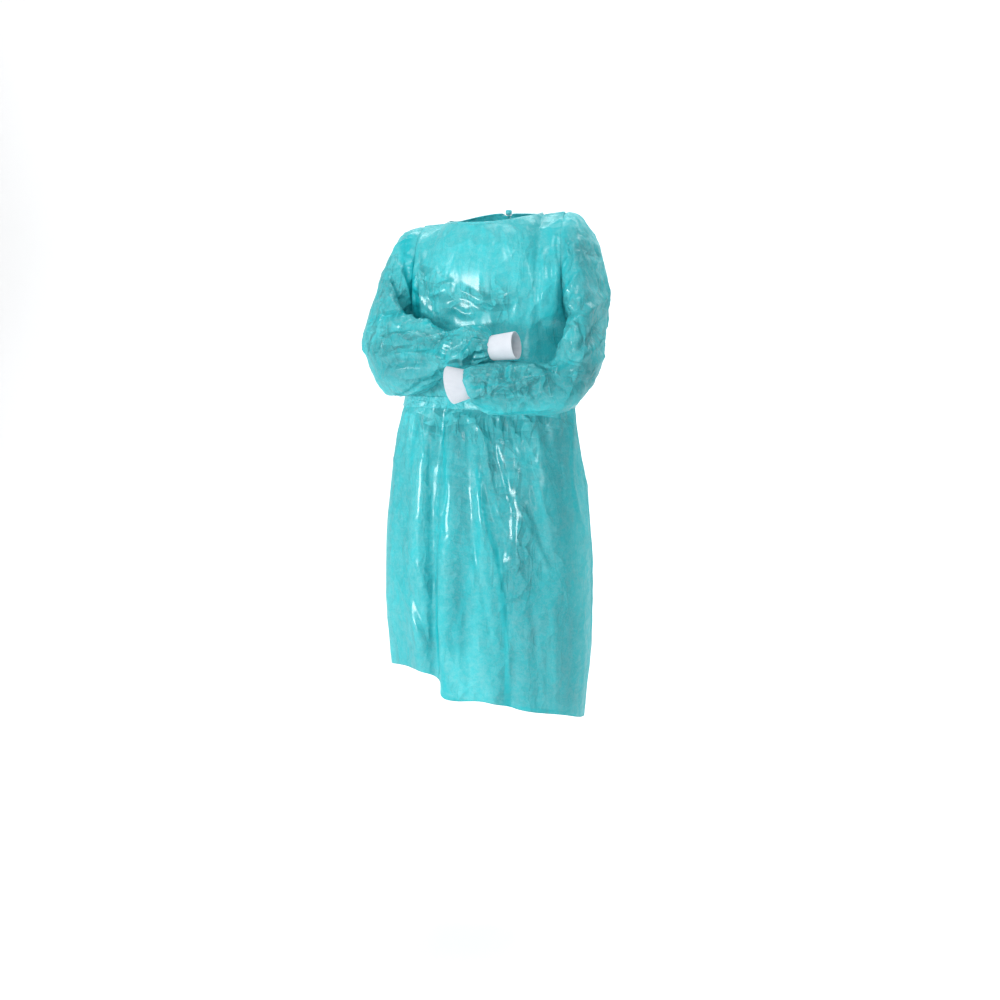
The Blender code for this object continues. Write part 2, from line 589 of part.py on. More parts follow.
class Piece:
    """One cut piece: a grid of points on its outside, with its normals."""

    def __init__(self, name, points, material, wrap=False, wall=WALL, inside=None):
        self.name = name
        self.points = points
        self.material = material
        self.wrap = wrap
        self.wall = wall
        if inside is None:
            inside = points.mean(axis=1, keepdims=True)
        self.normals = grid_normals(points, wrap, inside)

    def add_to_seams(self, seams):
        """Leave this piece's normals where another piece may share the point."""
        for point, normal in zip(self.points.reshape(-1, 3), self.normals.reshape(-1, 3)):
            seams.setdefault(seam_key(point), []).append(normal)

    def wall_directions(self, seams):
        """The wall's direction at each point, mitred where pieces meet."""
        directions = self.normals.copy()
        for place in np.ndindex(self.points.shape[:2]):
            shared = seams.get(seam_key(self.points[place]), [])
            if len(shared) < 2:
                continue
            middle = unit(np.sum(shared, axis=0))
            least = min(float(middle.dot(normal)) for normal in shared)
            directions[place] = middle / max(least, LEAST_MITRE)
        return directions

    def drawn_in(self):
        """The points, with the piece's edges moved into it by half a seam's gap."""
        points = self.points.copy()
        for edge, inside in ((0, 1), (-1, -2)):
            points[edge] += inwards(self.points[edge], self.points[inside]) * SEAM_HALF
            if not self.wrap:
                points[:, edge] += inwards(self.points[:, edge], self.points[:, inside]) * SEAM_HALF
        return points

    def build(self, collection, seams):
        """Make the wall: an outer skin, an inner skin and the rims between them."""
        outer = self.drawn_in()
        inner = outer - self.wall_directions(seams) * self.wall
        return wall_object(self.name, outer, inner, self.wrap, self.material, collection)


def wall_object(name, outer, inner, wrap, material, collection):
    """Join two skins of a grid into one closed wall."""
    rows, columns = outer.shape[:2]
    count = rows * columns
    vertices = np.concatenate((outer.reshape(-1, 3), inner.reshape(-1, 3)))
    faces = []

    def index(row, column, skin):
        return skin * count + row * columns + column % columns

    spans = columns if wrap else columns - 1
    for row in range(rows - 1):
        for column in range(spans):
            for skin in (0, 1):
                a = index(row, column, skin)
                b = index(row, column + 1, skin)
                c = index(row + 1, column + 1, skin)
                d = index(row + 1, column, skin)
                pair = [(a, b, c), (a, c, d)]
                faces += pair if skin == 0 else [face[::-1] for face in pair]
    border = [(0, column, 0, column + 1, 1) for column in range(spans)]
    border += [(rows - 1, column, rows - 1, column + 1, -1) for column in range(spans)]
    if not wrap:
        border += [(row, 0, row + 1, 0, -1) for row in range(rows - 1)]
        border += [(row, columns - 1, row + 1, columns - 1, 1) for row in range(rows - 1)]
    for row_a, column_a, row_b, column_b, way in border:
        a = index(row_a, column_a, 0)
        b = index(row_b, column_b, 0)
        c = index(row_b, column_b, 1)
        d = index(row_a, column_a, 1)
        pair = [(b, a, d), (b, d, c)]
        if math.dist(vertices[a], vertices[c]) < math.dist(vertices[b], vertices[d]):
            pair = [(b, a, c), (a, d, c)]
        faces += pair if way > 0 else [face[::-1] for face in pair]
    first = outer[1, 1] - outer[0, 0]
    turned = np.cross(outer[0, 1] - outer[0, 0], first).dot(outer[0, 0] - inner[0, 0]) < 0.0
    if turned:
        faces = [face[::-1] for face in faces]
    mesh = bpy.data.meshes.new(name)
    mesh.from_pydata([tuple(vertex) for vertex in vertices], [], faces)
    mesh.validate()
    mesh.materials.append(material)
    mesh.shade_smooth()
    mesh.set_sharp_from_angle(angle=math.radians(SHARP_ANGLE))
    piece = bpy.data.objects.new(name, mesh)
    collection.objects.link(piece)
    return piece


def belt_rows(front, backs):
    """The belt on the panels' own points: its three rows, from the knot round to the knot."""
    first = ROWS.index(1.0 + UNDERARM - BELT_HEIGHTS[0])
    rows = slice(first, first + len(BELT_HEIGHTS))
    drop = ROWS[first + 1]
    left = backs[1]
    right = backs[-1]
    middle = np.linspace(180.0 - NECK_TURN, 180.0 + past_middle(drop), BACK_NECK_STEPS + 1)
    covered = [SHOULDER_STEPS + step for step, angle in enumerate(middle) if angle > 180.0 + BELT_KNOT_TURN]
    reach = [SHOULDER_STEPS + step for step, angle in enumerate(middle) if angle < 180.0 - BELT_KNOT_TURN]
    meets = 180.0 - past_middle(drop) - BELT_STEP_TURN
    bare = [BACK_NECK_STEPS - step for step, angle in enumerate(middle) if angle < meets]
    side_seam = right.points.shape[1] - 1
    parts = [
        (left, covered, 0.0),
        (right, [bare[-1]], BELT_STEP_RISE),
        (right, list(range(bare[-2], side_seam)), 0.0),
        (front, list(range(front.points.shape[1])), 0.0),
        (left, list(range(1, reach[-1] + 1)), 0.0),
    ]
    points = []
    for piece, columns, rise in parts:
        lifted = piece.points + piece.normals * (BELT_LIFT + rise)
        points.append(lifted[rows, columns])
    strip = np.concatenate(points, axis=1)
    under_knot = (left.points + left.normals * BELT_LIFT)[rows, covered[0] - 1]
    first = strip[:, 0] + (under_knot - strip[:, 0]) * BELT_END_REACH
    last = strip[:, -1] + (under_knot - strip[:, -1]) * BELT_END_REACH
    return np.concatenate((first[:, None], strip, last[:, None]), axis=1)


def tail(spec):
    """A tie's free end, hanging over the back at a small distance from it."""
    rows = []
    for step in range(TAIL_STEPS + 1):
        t = step / TAIL_STEPS
        drop = spec.top + (spec.low - spec.top) * t
        angle = spec.angle_top + (spec.angle_low - spec.angle_top) * t ** TAIL_BEND
        clear = spec.clear_top + (spec.clear_low - spec.clear_top) * t
        middle = tie_point(angle, drop, clear)
        aside = unit(tie_point(angle + 1.0, drop, clear) - tie_point(angle - 1.0, drop, clear))
        rows.append([middle + aside * spec.half_width * part for part in (-1.0, 0.0, 1.0)])
    return np.array(rows)


def tie_point(angle, drop, clear):
    """A point over the backs, clear of the outer one's cloth."""
    return back_point(1, angle, drop, clear + WALL)


def finish(name, colour, roughness):
    """A plain material for one kind of cloth."""
    material = bpy.data.materials.new(name)
    material.use_nodes = True
    shader = material.node_tree.nodes["Principled BSDF"]
    shader.inputs["Base Color"].default_value = colour
    shader.inputs["Roughness"].default_value = roughness
    shader.inputs["Metallic"].default_value = 0.0
    return material


def knot(name, centre, half_sizes, material, collection):
    """A small tight knot."""
    bpy.ops.mesh.primitive_cube_add(size=2.0, location=centre)
    piece = bpy.context.active_object
    piece.name = name
    piece.data.name = name
    piece.scale = half_sizes
    bpy.ops.object.transform_apply(location=False, rotation=False, scale=True)
    piece.data.materials.append(material)
    rounding = piece.modifiers.new("rounding", "BEVEL")
    rounding.width = KNOT_ROUND
    rounding.segments = KNOT_SEGMENTS
    piece.data.shade_smooth()
    for other in list(piece.users_collection):
        other.objects.unlink(piece)
    collection.objects.link(piece)
    return piece


def clear_scene():
    """Take every object out of the scene."""
    for item in list(bpy.data.objects):
        bpy.data.objects.remove(item, do_unlink=True)


def main():
    """Build every piece of the gown."""
    clear_scene()
    gown = bpy.data.collections.new("isolation_gown")
    bpy.context.scene.collection.children.link(gown)
    cloth = finish("coated_cloth", CLOTH_COLOUR, 0.35)
    trim = finish("binding_and_ties", BINDING_COLOUR, 0.45)
    knit = finish("rib_knit", KNIT_COLOUR, 0.85)

    front_grid = front_panel()
    back_grids = {side: back_panel(side) for side in (-1, 1)}
    axis = np.array((0.0, 0.0, 1.0))
    spine = front_grid * axis + np.array((NECK_MIDDLE, 0.0, SPINE_DROP))
    front = Piece("front", front_grid, cloth, inside=spine)
    backs = {}
    for side, name in ((-1, "back_right"), (1, "back_left")):
        spine = back_grids[side] * axis + np.array((NECK_MIDDLE, 0.0, SPINE_DROP))
        backs[side] = Piece(name, back_grids[side], cloth, inside=spine)

    left_grid = sleeve(1, LEFT_ARM, LEFT_FOREARM, LEFT_FOLDS)
    right_grid = sleeve(-1, RIGHT_ARM, RIGHT_FOREARM, RIGHT_FOLDS)
    sleeve_left = Piece("sleeve_left", left_grid, cloth, wrap=True)
    sleeve_right = Piece("sleeve_right", right_grid, cloth, wrap=True)
    cuff_left = Piece("cuff_left", cuff(LEFT_FOREARM[-1], LEFT_CUFF_END), knit, True, CUFF_WALL)
    cuff_right = Piece("cuff_right", cuff(RIGHT_FOREARM[-1], RIGHT_CUFF_END), knit, True, CUFF_WALL)

    collar_grid = neck_binding(front_grid, back_grids)
    chest = np.array((NECK_MIDDLE, 0.0, UNDERARM))
    binding = Piece("neck_binding", collar_grid, trim, False, BINDING_WALL, chest)

    pieces = [front, backs[1], backs[-1], sleeve_left, sleeve_right, cuff_left, cuff_right, binding]
    seams = {}
    for piece in pieces[:-1]:
        piece.add_to_seams(seams)
    for piece in pieces:
        piece.build(gown, seams)

    belt_grid = belt_rows(front, backs)
    belt_middle = np.array((body_section(WAIST).middle, 0.0, WAIST))
    Piece("waist_belt", belt_grid, trim, inside=belt_middle).build(gown, {})
    belt_ends = belt_grid[:, [0, -1]]
    knot_place = belt_ends.mean(axis=(0, 1))
    knot_place[1] = belt_ends[..., 1].max() + KNOT_CLEAR + WAIST_KNOT[1]
    knot("waist_knot", knot_place, WAIST_KNOT, trim, gown)
    binding_ends = collar_grid[1, [0, -1]].mean(axis=0)
    knot("neck_knot", binding_ends + np.array(NECK_KNOT_OUT), NECK_KNOT, trim, gown)
    for name, spec in {**NECK_TAILS, **WAIST_TAILS}.items():
        grid = tail(spec)
        inside = grid - np.array((0.0, TAIL_BACK, 0.0))
        Piece(name, grid, trim, inside=inside).build(gown, {})


main()
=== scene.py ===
# %% [markdown]
# # An isolation gown, dressed for its portrait
#
# The CAD frame holds the gown as walls of cloth 1.5 mm thick, one for each cut piece. Here each
# wall's outer side becomes a fine sheet with the gown's creases, gathers and seams, in a glossy
# film-coated cloth. It could be one cloth simulation, but nothing stands inside the gown for it to
# be draped on, so the creases are placed one by one on the form that the frame keeps.

import math
from collections import namedtuple

import bmesh
import bpy
import numpy as np
from mathutils import Matrix, Vector
from mathutils.bvhtree import BVHTree
from mathutils.kdtree import KDTree


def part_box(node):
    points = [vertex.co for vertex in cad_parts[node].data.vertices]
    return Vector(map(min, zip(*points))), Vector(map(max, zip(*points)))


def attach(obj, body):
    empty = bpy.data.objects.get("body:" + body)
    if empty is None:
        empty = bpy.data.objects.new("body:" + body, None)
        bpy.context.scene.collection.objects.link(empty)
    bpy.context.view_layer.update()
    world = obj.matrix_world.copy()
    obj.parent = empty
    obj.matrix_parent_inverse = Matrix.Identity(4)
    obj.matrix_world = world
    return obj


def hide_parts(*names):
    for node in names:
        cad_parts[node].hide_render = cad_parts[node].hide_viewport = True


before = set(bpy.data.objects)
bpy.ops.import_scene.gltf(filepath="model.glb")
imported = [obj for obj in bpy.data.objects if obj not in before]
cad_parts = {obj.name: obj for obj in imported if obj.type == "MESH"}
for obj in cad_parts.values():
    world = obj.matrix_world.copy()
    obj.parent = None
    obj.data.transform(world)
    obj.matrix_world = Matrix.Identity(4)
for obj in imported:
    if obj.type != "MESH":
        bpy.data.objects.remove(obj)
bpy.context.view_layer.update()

# %% [markdown]
# ## Objects and meshes
#
# A few short steps that come up again and again: linking an object, reading a mesh for editing,
# and giving a mesh its material.

# %% Helpers
scene = bpy.context.scene


def placed(name, data):
    """A new object of some data, linked into the scene."""
    thing = bpy.data.objects.new(name, data)
    scene.collection.objects.link(thing)
    return thing


def opened(mesh):
    """A mesh for editing."""
    bm = bmesh.new()
    bm.from_mesh(mesh)
    return bm


def closed_mesh(bm, name):
    """An edited mesh as a new one."""
    mesh = bpy.data.meshes.new(name)
    bm.to_mesh(mesh)
    bm.free()
    return mesh


def baked(thing):
    """The mesh of an object with its modifiers applied; the object goes."""
    view = bpy.context.evaluated_depsgraph_get()
    mesh = bpy.data.meshes.new_from_object(thing.evaluated_get(view))
    bpy.data.objects.remove(thing)
    return mesh


def covered(mesh, material):
    """A mesh, smooth-shaded in one material."""
    mesh.materials.clear()
    mesh.materials.append(material)
    mesh.shade_smooth()
    return mesh


# %% [markdown]
# ## The camera
#
# It stands a little to the gown's left and looks slightly down. Its turn, distance, height, tilt
# and focal length come from matching the gown's outline with the photograph's.

# %% Camera
MM = 0.001
CAMERA_TURN = math.radians(18.0)
CAMERA_TILT = math.radians(7.7)
CAMERA_DISTANCE = 3.2
CAMERA_HEIGHT = -0.12
PICTURE_SIDE = 1000
PICTURE_MIDDLE = (497, 500)
FOCAL_PIXELS = 1590.0
SENSOR = 36.0

RIGHTWARD = Vector((math.cos(CAMERA_TURN), math.sin(CAMERA_TURN), 0))
LEVEL = Vector((-math.sin(CAMERA_TURN), math.cos(CAMERA_TURN), 0))
UP = Vector((0, 0, 1))
FORWARD = LEVEL * math.cos(CAMERA_TILT) - UP * math.sin(CAMERA_TILT)
UPWARD = LEVEL * math.sin(CAMERA_TILT) + UP * math.cos(CAMERA_TILT)
EYE = UP * CAMERA_HEIGHT - LEVEL * CAMERA_DISTANCE

camera = placed("camera", bpy.data.cameras.new("camera"))
camera.data.sensor_width = SENSOR
camera.data.lens = FOCAL_PIXELS / PICTURE_SIDE * SENSOR
camera.data.shift_x = (PICTURE_SIDE / 2 - PICTURE_MIDDLE[0]) / PICTURE_SIDE
turned = Matrix((RIGHTWARD, UPWARD, -FORWARD)).transposed()
camera.matrix_world = Matrix.Translation(EYE) @ turned.to_4x4()
scene.camera = camera
scene.view_settings.view_transform = "Standard"

# %% [markdown]
# ## Floor and light
#
# The photograph has a white studio: a pale sweep under and behind, washed with light, and an even
# surround. One soft box in front gives the glare on the chest. Three narrow ones draw highlights
# along the creases, and a weak one hangs above.

# %% Floor
FLOOR_HEIGHT = -1.42
FLOOR_HALF_WIDTH = 6.0
FLOOR_NEAR = -5.0
FLOOR_FAR = 3.5
FLOOR_CURVE = 1.5
CURVE_STEPS = 12
WALL_TOP = 4.0


def sweep():
    """The floor and its rise into the wall behind, as one sheet."""
    profile = [(FLOOR_NEAR, FLOOR_HEIGHT)]
    for step in range(CURVE_STEPS + 1):
        angle = math.radians(90 * step / CURVE_STEPS)
        y = FLOOR_FAR - FLOOR_CURVE + FLOOR_CURVE * math.sin(angle)
        profile.append((y, FLOOR_HEIGHT + FLOOR_CURVE * (1 - math.cos(angle))))
    profile.append((FLOOR_FAR, WALL_TOP))
    bm = bmesh.new()
    rows = [[bm.verts.new((x, y, z)) for x in (-FLOOR_HALF_WIDTH, FLOOR_HALF_WIDTH)] for y, z in profile]
    for before, after in zip(rows, rows[1:]):
        bm.faces.new((before[0], before[1], after[1], after[0]))
    mesh = closed_mesh(bm, "floor")
    mesh.shade_smooth()
    floor = placed("floor", mesh)
    return floor


floor = sweep()

# %% Lights
Lamp = namedtuple("Lamp", "name place aim width height watts")
LAMPS = (
    Lamp("key", (-1.40, -2.85, -0.30), (0.0, 0.0, -0.25), 1.10, 0.45, 44.0),
    Lamp("left strip", (-2.40, -1.60, 0.25), (0.0, 0.0, -0.40), 0.16, 1.50, 10.0),
    Lamp("right strip", (2.20, -2.20, 0.25), (0.0, 0.0, -0.40), 0.16, 1.50, 9.0),
    Lamp("front strip", (0.75, -3.20, 1.25), (0.0, 0.0, -0.45), 0.30, 0.90, 14.0),
    Lamp("top", (0.10, -1.20, 2.00), (0.0, 0.0, -0.20), 1.00, 0.50, 9.0),
    Lamp("wall wash", (0.0, 1.60, 3.00), (0.0, 3.20, 0.20), 5.0, 1.00, 160.0),
)
for lamp in LAMPS:
    data = bpy.data.lights.new(lamp.name, "AREA")
    data.shape = "RECTANGLE"
    data.size = lamp.width
    data.size_y = lamp.height
    data.energy = lamp.watts
    light = placed(lamp.name, data)
    light.location = lamp.place
    light.rotation_euler = (Vector(lamp.aim) - Vector(lamp.place)).to_track_quat("-Z", "Y").to_euler()

SURROUND_COLOUR = (0.97, 0.985, 1.0, 1.0)
SURROUND_STRENGTH = 0.52
world = bpy.data.worlds.new("surround")
world.use_nodes = True
world.node_tree.nodes["Background"].inputs["Color"].default_value = SURROUND_COLOUR
world.node_tree.nodes["Background"].inputs["Strength"].default_value = SURROUND_STRENGTH
scene.world = world

# %% [markdown]
# ## Writing materials
#
# A socket wrapped in a small class adds and multiplies as a number does, so a material reads as a
# formula. Every other node comes from one method. Scales of patterns are per metre.


# %% Material helpers
class Wire:
    """An output socket that can be added, multiplied and so on."""

    def __init__(self, socket):
        self.socket = socket

    def maths(self, operation, first, second):
        tree = self.socket.id_data
        node = tree.nodes.new("ShaderNodeMath")
        node.operation = operation
        for place, value in zip(node.inputs, (first, second)):
            plug(tree, place, value)
        return Wire(node.outputs[0])

    def __add__(self, other):
        return self.maths("ADD", self, other)

    def __radd__(self, other):
        return self.maths("ADD", other, self)

    def __sub__(self, other):
        return self.maths("SUBTRACT", self, other)

    def __rsub__(self, other):
        return self.maths("SUBTRACT", other, self)

    def __mul__(self, other):
        return self.maths("MULTIPLY", self, other)

    def __rmul__(self, other):
        return self.maths("MULTIPLY", other, self)

    def sine(self):
        return self.maths("SINE", self, 0.0)

    def size(self):
        return self.maths("ABSOLUTE", self, 0.0)

    def clamped(self):
        return self.maths("MINIMUM", self.maths("MAXIMUM", self, 0.0), 1.0)


def plug(tree, place, value):
    """Sets an input to a number or colour, or links a wire into it."""
    if isinstance(value, Wire):
        tree.links.new(value.socket, place)
    else:
        place.default_value = value


class Finish:
    """A material under construction."""

    def __init__(self, name):
        self.material = bpy.data.materials.new(name)
        self.material.use_nodes = True
        self.tree = self.material.node_tree
        self.tree.nodes.clear()

    def node(self, kind, settings=None, output=0, **values):
        """Makes a node, sets its settings, then its inputs by name, and gives one of its outputs."""
        node = self.tree.nodes.new(kind)
        for key, value in (settings or {}).items():
            setattr(node, key, value)
        for key, value in values.items():
            plug(self.tree, node.inputs[key.replace("_", " ")], value)
        return Wire(node.outputs[output])

    def blend(self, factor, first, second):
        """A colour between two others."""
        node = self.tree.nodes.new("ShaderNodeMix")
        node.data_type = "RGBA"
        for place, value in zip((node.inputs[0], node.inputs[6], node.inputs[7]), (factor, first, second)):
            plug(self.tree, place, value)
        return Wire(node.outputs[2])

    def noise(self, place, scale, detail, roughness=0.5):
        """A cloudy pattern from 0 to 1."""
        sizes = {"Scale": scale, "Detail": detail, "Roughness": roughness}
        return self.node("ShaderNodeTexNoise", None, 0, Vector=place, **sizes)

    def attribute(self, name):
        """A quality painted on the points of a sheet."""
        return self.node("ShaderNodeAttribute", {"attribute_name": name}, 2)

    def bump(self, height, strength=1.0):
        """A surface that seems to rise by a height in metres."""
        return self.node("ShaderNodeBump", None, 0, Strength=strength, Distance=1.0, Height=height)

    def surface(self, **values):
        """A surface shader with its inputs by name."""
        return self.node("ShaderNodeBsdfPrincipled", None, 0, **values)

    def vector(self, operation, first, second):
        """Adds or multiplies vectors."""
        node = self.tree.nodes.new("ShaderNodeVectorMath")
        node.operation = operation
        for place, value in zip(node.inputs, (first, second)):
            plug(self.tree, place, value)
        return Wire(node.outputs[0])

    def mix(self, factor, first, second):
        """A shader between two others."""
        node = self.tree.nodes.new("ShaderNodeMixShader")
        for place, value in zip(node.inputs, (factor, first, second)):
            plug(self.tree, place, value)
        return Wire(node.outputs[0])

    def done(self, shader):
        end = self.tree.nodes.new("ShaderNodeOutputMaterial")
        self.tree.links.new(shader.socket, end.inputs["Surface"])
        return self.material


# %% [markdown]
# ## The film-coated cloth
#
# A thin non-woven with a glossy film on it: turquoise, a little see-through, mottled by its fibres
# and crumpled into small flat facets. Two layers look deeper in colour than one, so the sheets
# carry an attribute for that, one for the tone, which also holds painted shade where the wearer's
# arms and legs show through, and one for how crumpled they are.

# %% Coated cloth
PALE = (0.070, 0.700, 0.750, 1.0)
DEEP = (0.022, 0.360, 0.410, 1.0)
DOUBLED = (0.002, 0.560, 0.620, 1.0)
THROUGH = (0.050, 0.700, 0.740, 1.0)
PALE_FLECK = (0.360, 0.860, 0.880, 1.0)
DEEP_FLECK = (0.240, 0.500, 0.540, 1.0)
FLECK_SHARE = 0.36
LAYER_SHARE = 0.88
GLOW_SHARE = 0.24
FIBRE_HEIGHT = 0.05 * MM
FIBRE_SCALE = 380.0
FLOCK_SCALE = 110.0
CLOUD_SCALE = 26.0
DRIFT_SCALE = 6.0
WARP_SCALE = 11.0
WARP_SIZE = (0.05, 0.05, 0.05)
FOLD_STRETCH = (1.0, 1.0, 0.16)
FOLD_SHARPNESS = 11.0


def facets(finish, place, scale, slope):
    """The height of crumpled film with flat facets of about 1 / scale metres."""
    cells = finish.node("ShaderNodeTexVoronoi", {"distance": "MANHATTAN"}, 0, Vector=place, Scale=scale)
    return cells * (slope / scale)


def fold_lines(finish, place, turn, scale, height):
    """The height of thin straight folds that run across the film in one direction."""
    turned = (turn * 0.4, turn, turn * 0.7)
    laid = finish.node("ShaderNodeMapping", None, 0, Vector=place, Rotation=turned, Scale=FOLD_STRETCH)
    cloud = finish.noise(laid, scale, 0.0)
    near = (1 - (cloud - 0.5).size() * FOLD_SHARPNESS).clamped()
    return near * near * height


def coated_cloth():
    finish = Finish("coated_cloth_film")
    place = finish.node("ShaderNodeTexCoord", None, 3)
    tone_and_shade = finish.attribute("tone_and_shade")
    layers = finish.attribute("layers")
    crumple = finish.attribute("crumple")

    fibres = finish.noise(place, FIBRE_SCALE, 2.0, 0.7)
    flocks = finish.noise(place, FLOCK_SCALE, 3.0, 0.7)
    clouds = finish.noise(place, CLOUD_SCALE, 2.0, 0.6)
    drift = finish.noise(place, DRIFT_SCALE, 1.0)

    # The tone attribute is painted shade where the wearer's arms and legs show through; drift and clouds
    # vary the tone at random. It deepens both the film and the light let through.
    depth = (tone_and_shade + (drift - 0.5) * 0.35 + (clouds - 0.5) * 0.40).clamped()
    colour = finish.blend(depth, PALE, DEEP)
    fleck = ((flocks - 0.5) * 2.6 + (fibres - 0.5) * 2.2 + (clouds - 0.5) * 1.4 + 0.34).clamped()
    colour = finish.blend(fleck * FLECK_SHARE, colour, finish.blend(depth, PALE_FLECK, DEEP_FLECK))
    colour = finish.blend((layers * LAYER_SHARE).clamped(), colour, DOUBLED)

    warp = finish.node("ShaderNodeTexNoise", None, 1, Vector=place, Scale=WARP_SCALE, Detail=1.0)
    bent = finish.vector("ADD", place, finish.vector("MULTIPLY", warp, WARP_SIZE))
    folds = fold_lines(finish, bent, turn=0.5, scale=34.0, height=0.80 * MM)
    cross_folds = fold_lines(finish, bent, turn=-0.8, scale=50.0, height=0.62 * MM)
    creased = folds + cross_folds + facets(finish, bent, scale=30.0, slope=0.24)
    bump = finish.bump(creased * crumple + fibres * FIBRE_HEIGHT)

    facing = finish.node("ShaderNodeLayerWeight", None, 1, Blend=0.5)
    gloss = (0.34 + (clouds - 0.5) * 0.25).clamped()
    film = finish.surface(
        Base_Color=colour,
        Roughness=gloss,
        IOR=1.42,
        Specular_IOR_Level=0.12,
        Coat_Weight=(1 - facing * 1.05).clamped(),
        Coat_Roughness=0.18,
        Alpha=(0.92 + layers * 0.08).clamped(),
        Normal=bump,
    )
    through = finish.blend(depth, THROUGH, DEEP)
    glow = finish.node("ShaderNodeBsdfTranslucent", None, 0, Color=through, Normal=bump)
    return finish.done(finish.mix(GLOW_SHARE, film, glow))


coated = coated_cloth()

# %% [markdown]
# ## Binding, belt and ties
#
# They are folded strips of the same cloth, deeper in colour because they have more layers, and a
# little crumpled.


# %% Folded strips
STRIP_DEEP = (0.020, 0.45, 0.50, 1.0)
STRIP_PALE = (0.045, 0.58, 0.63, 1.0)


def folded_strip():
    finish = Finish("folded_strip_cloth")
    place = finish.node("ShaderNodeTexCoord", None, 3)
    fibres = finish.noise(place, 600.0, 5.0, 0.6)
    clouds = finish.noise(place, 70.0, 3.0)
    colour = finish.blend(((clouds - 0.5) * 1.4 + 0.5).clamped(), STRIP_DEEP, STRIP_PALE)
    colour = finish.blend(((fibres - 0.5) * 2.5 + 0.2).clamped() * 0.30, colour, PALE_FLECK)
    small = facets(finish, place, scale=160.0, slope=0.20)
    large = facets(finish, place, scale=60.0, slope=0.15)
    bump = finish.bump(fibres * (0.10 * MM) + small + large)
    film = finish.surface(
        Base_Color=colour,
        Roughness=(0.34 + (clouds - 0.5) * 0.2).clamped(),
        Coat_Weight=0.4,
        Coat_Roughness=0.2,
        Normal=bump,
    )
    return finish.done(film)


strip_cloth = folded_strip()

# %% [markdown]
# ## Rib knit
#
# The cuffs are a soft white knit. Their ribs are modelled, and the stitches between them are a
# small chevron in the bump. The grooves between the ribs are painted darker, as painted shade.


# %% Rib knit
CUFF_RIBS = 84
CUFF_COURSES = 34
KNIT_PALE = (0.71, 0.74, 0.79, 1.0)
KNIT_DEEP = (0.44, 0.49, 0.56, 1.0)


def rib_knit():
    finish = Finish("white_rib_knit")
    place = finish.node("ShaderNodeUVMap", {"uv_map": "cuff"}, 0)
    across = finish.node("ShaderNodeSeparateXYZ", None, 0, Vector=place)
    along = finish.node("ShaderNodeSeparateXYZ", None, 1, Vector=place)
    spot = finish.node("ShaderNodeTexCoord", None, 3)
    fuzz = finish.noise(spot, 900.0, 4.0, 0.7)
    soft = finish.noise(spot, 40.0, 2.0)
    wale = (across * (2 * math.pi * CUFF_RIBS)).sine()
    stitch = (along * (2 * math.pi * CUFF_COURSES) + wale * 1.2).sine()
    rib = finish.attribute("rib")
    # The grooves between the ribs are painted darker, as painted shade; the two noises vary the tone at
    # random.
    groove_shade_and_tone = (0.45 - rib * 0.55 + (soft - 0.5) * 0.5 + (0.5 - fuzz) * 0.5).clamped()
    colour = finish.blend(groove_shade_and_tone, KNIT_PALE, KNIT_DEEP)
    bump = finish.bump(stitch * (0.10 * MM) + fuzz * (0.12 * MM), 0.8)
    yarn = finish.surface(
        Base_Color=colour,
        Roughness=0.88,
        Sheen_Weight=0.35,
        Sheen_Roughness=0.5,
        Normal=bump,
    )
    return finish.done(yarn)


knit = rib_knit()


# %% Floor finish
FLOOR_PALE = (0.97, 0.97, 0.97, 1.0)
FLOOR_DEEP = (0.93, 0.93, 0.93, 1.0)


def pale_floor():
    finish = Finish("pale_floor")
    place = finish.node("ShaderNodeTexCoord", None, 3)
    cloud = finish.noise(place, 1.5, 2.0)
    colour = finish.blend(cloud, FLOOR_DEEP, FLOOR_PALE)
    return finish.done(finish.surface(Base_Color=colour, Roughness=0.7))


floor.data.materials.append(pale_floor())

# %% [markdown]
# ## From a wall to a sheet
#
# A CAD wall has an outer side, an inner side and narrow edges between. The faces are gathered into
# sides across edges that aren't sharp. The side whose faces look away from its own middle is the
# outer one. Its triangles are paired back into quads, subdivided and evened out.

# %% Outer sides
SHARP_EDGE = math.radians(55)
LONG_EDGE = 0.0060
MERGE_DISTANCE = 0.02 * MM
PAIR_BEND = math.radians(80)
PAIR_SKEW = math.radians(120)


def merged(name):
    """A node's mesh with its loose triangles joined."""
    bm = opened(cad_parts[name].data)
    bmesh.ops.remove_doubles(bm, verts=bm.verts, dist=MERGE_DISTANCE)
    bm.normal_update()
    return bm


def sides(bm):
    """The sets of faces that sharp edges part, the two largest first."""
    free = set(bm.faces)
    found = []
    while free:
        seed = free.pop()
        side = [seed]
        front = [seed]
        while front:
            face = front.pop()
            for edge in face.edges:
                if len(edge.link_faces) == 2 and edge.calc_face_angle() > SHARP_EDGE:
                    continue
                for other in edge.link_faces:
                    if other in free:
                        free.discard(other)
                        front.append(other)
                        side.append(other)
        found.append(side)
    return sorted(found, key=len, reverse=True)[:2]


def outwardness(side):
    """Positive where a side's faces look away from its middle."""
    area = sum(face.calc_area() for face in side)
    middle = sum((face.calc_center_median() * face.calc_area() for face in side), Vector()) / area
    return sum((face.calc_center_median() - middle).dot(face.normal) * face.calc_area() for face in side)


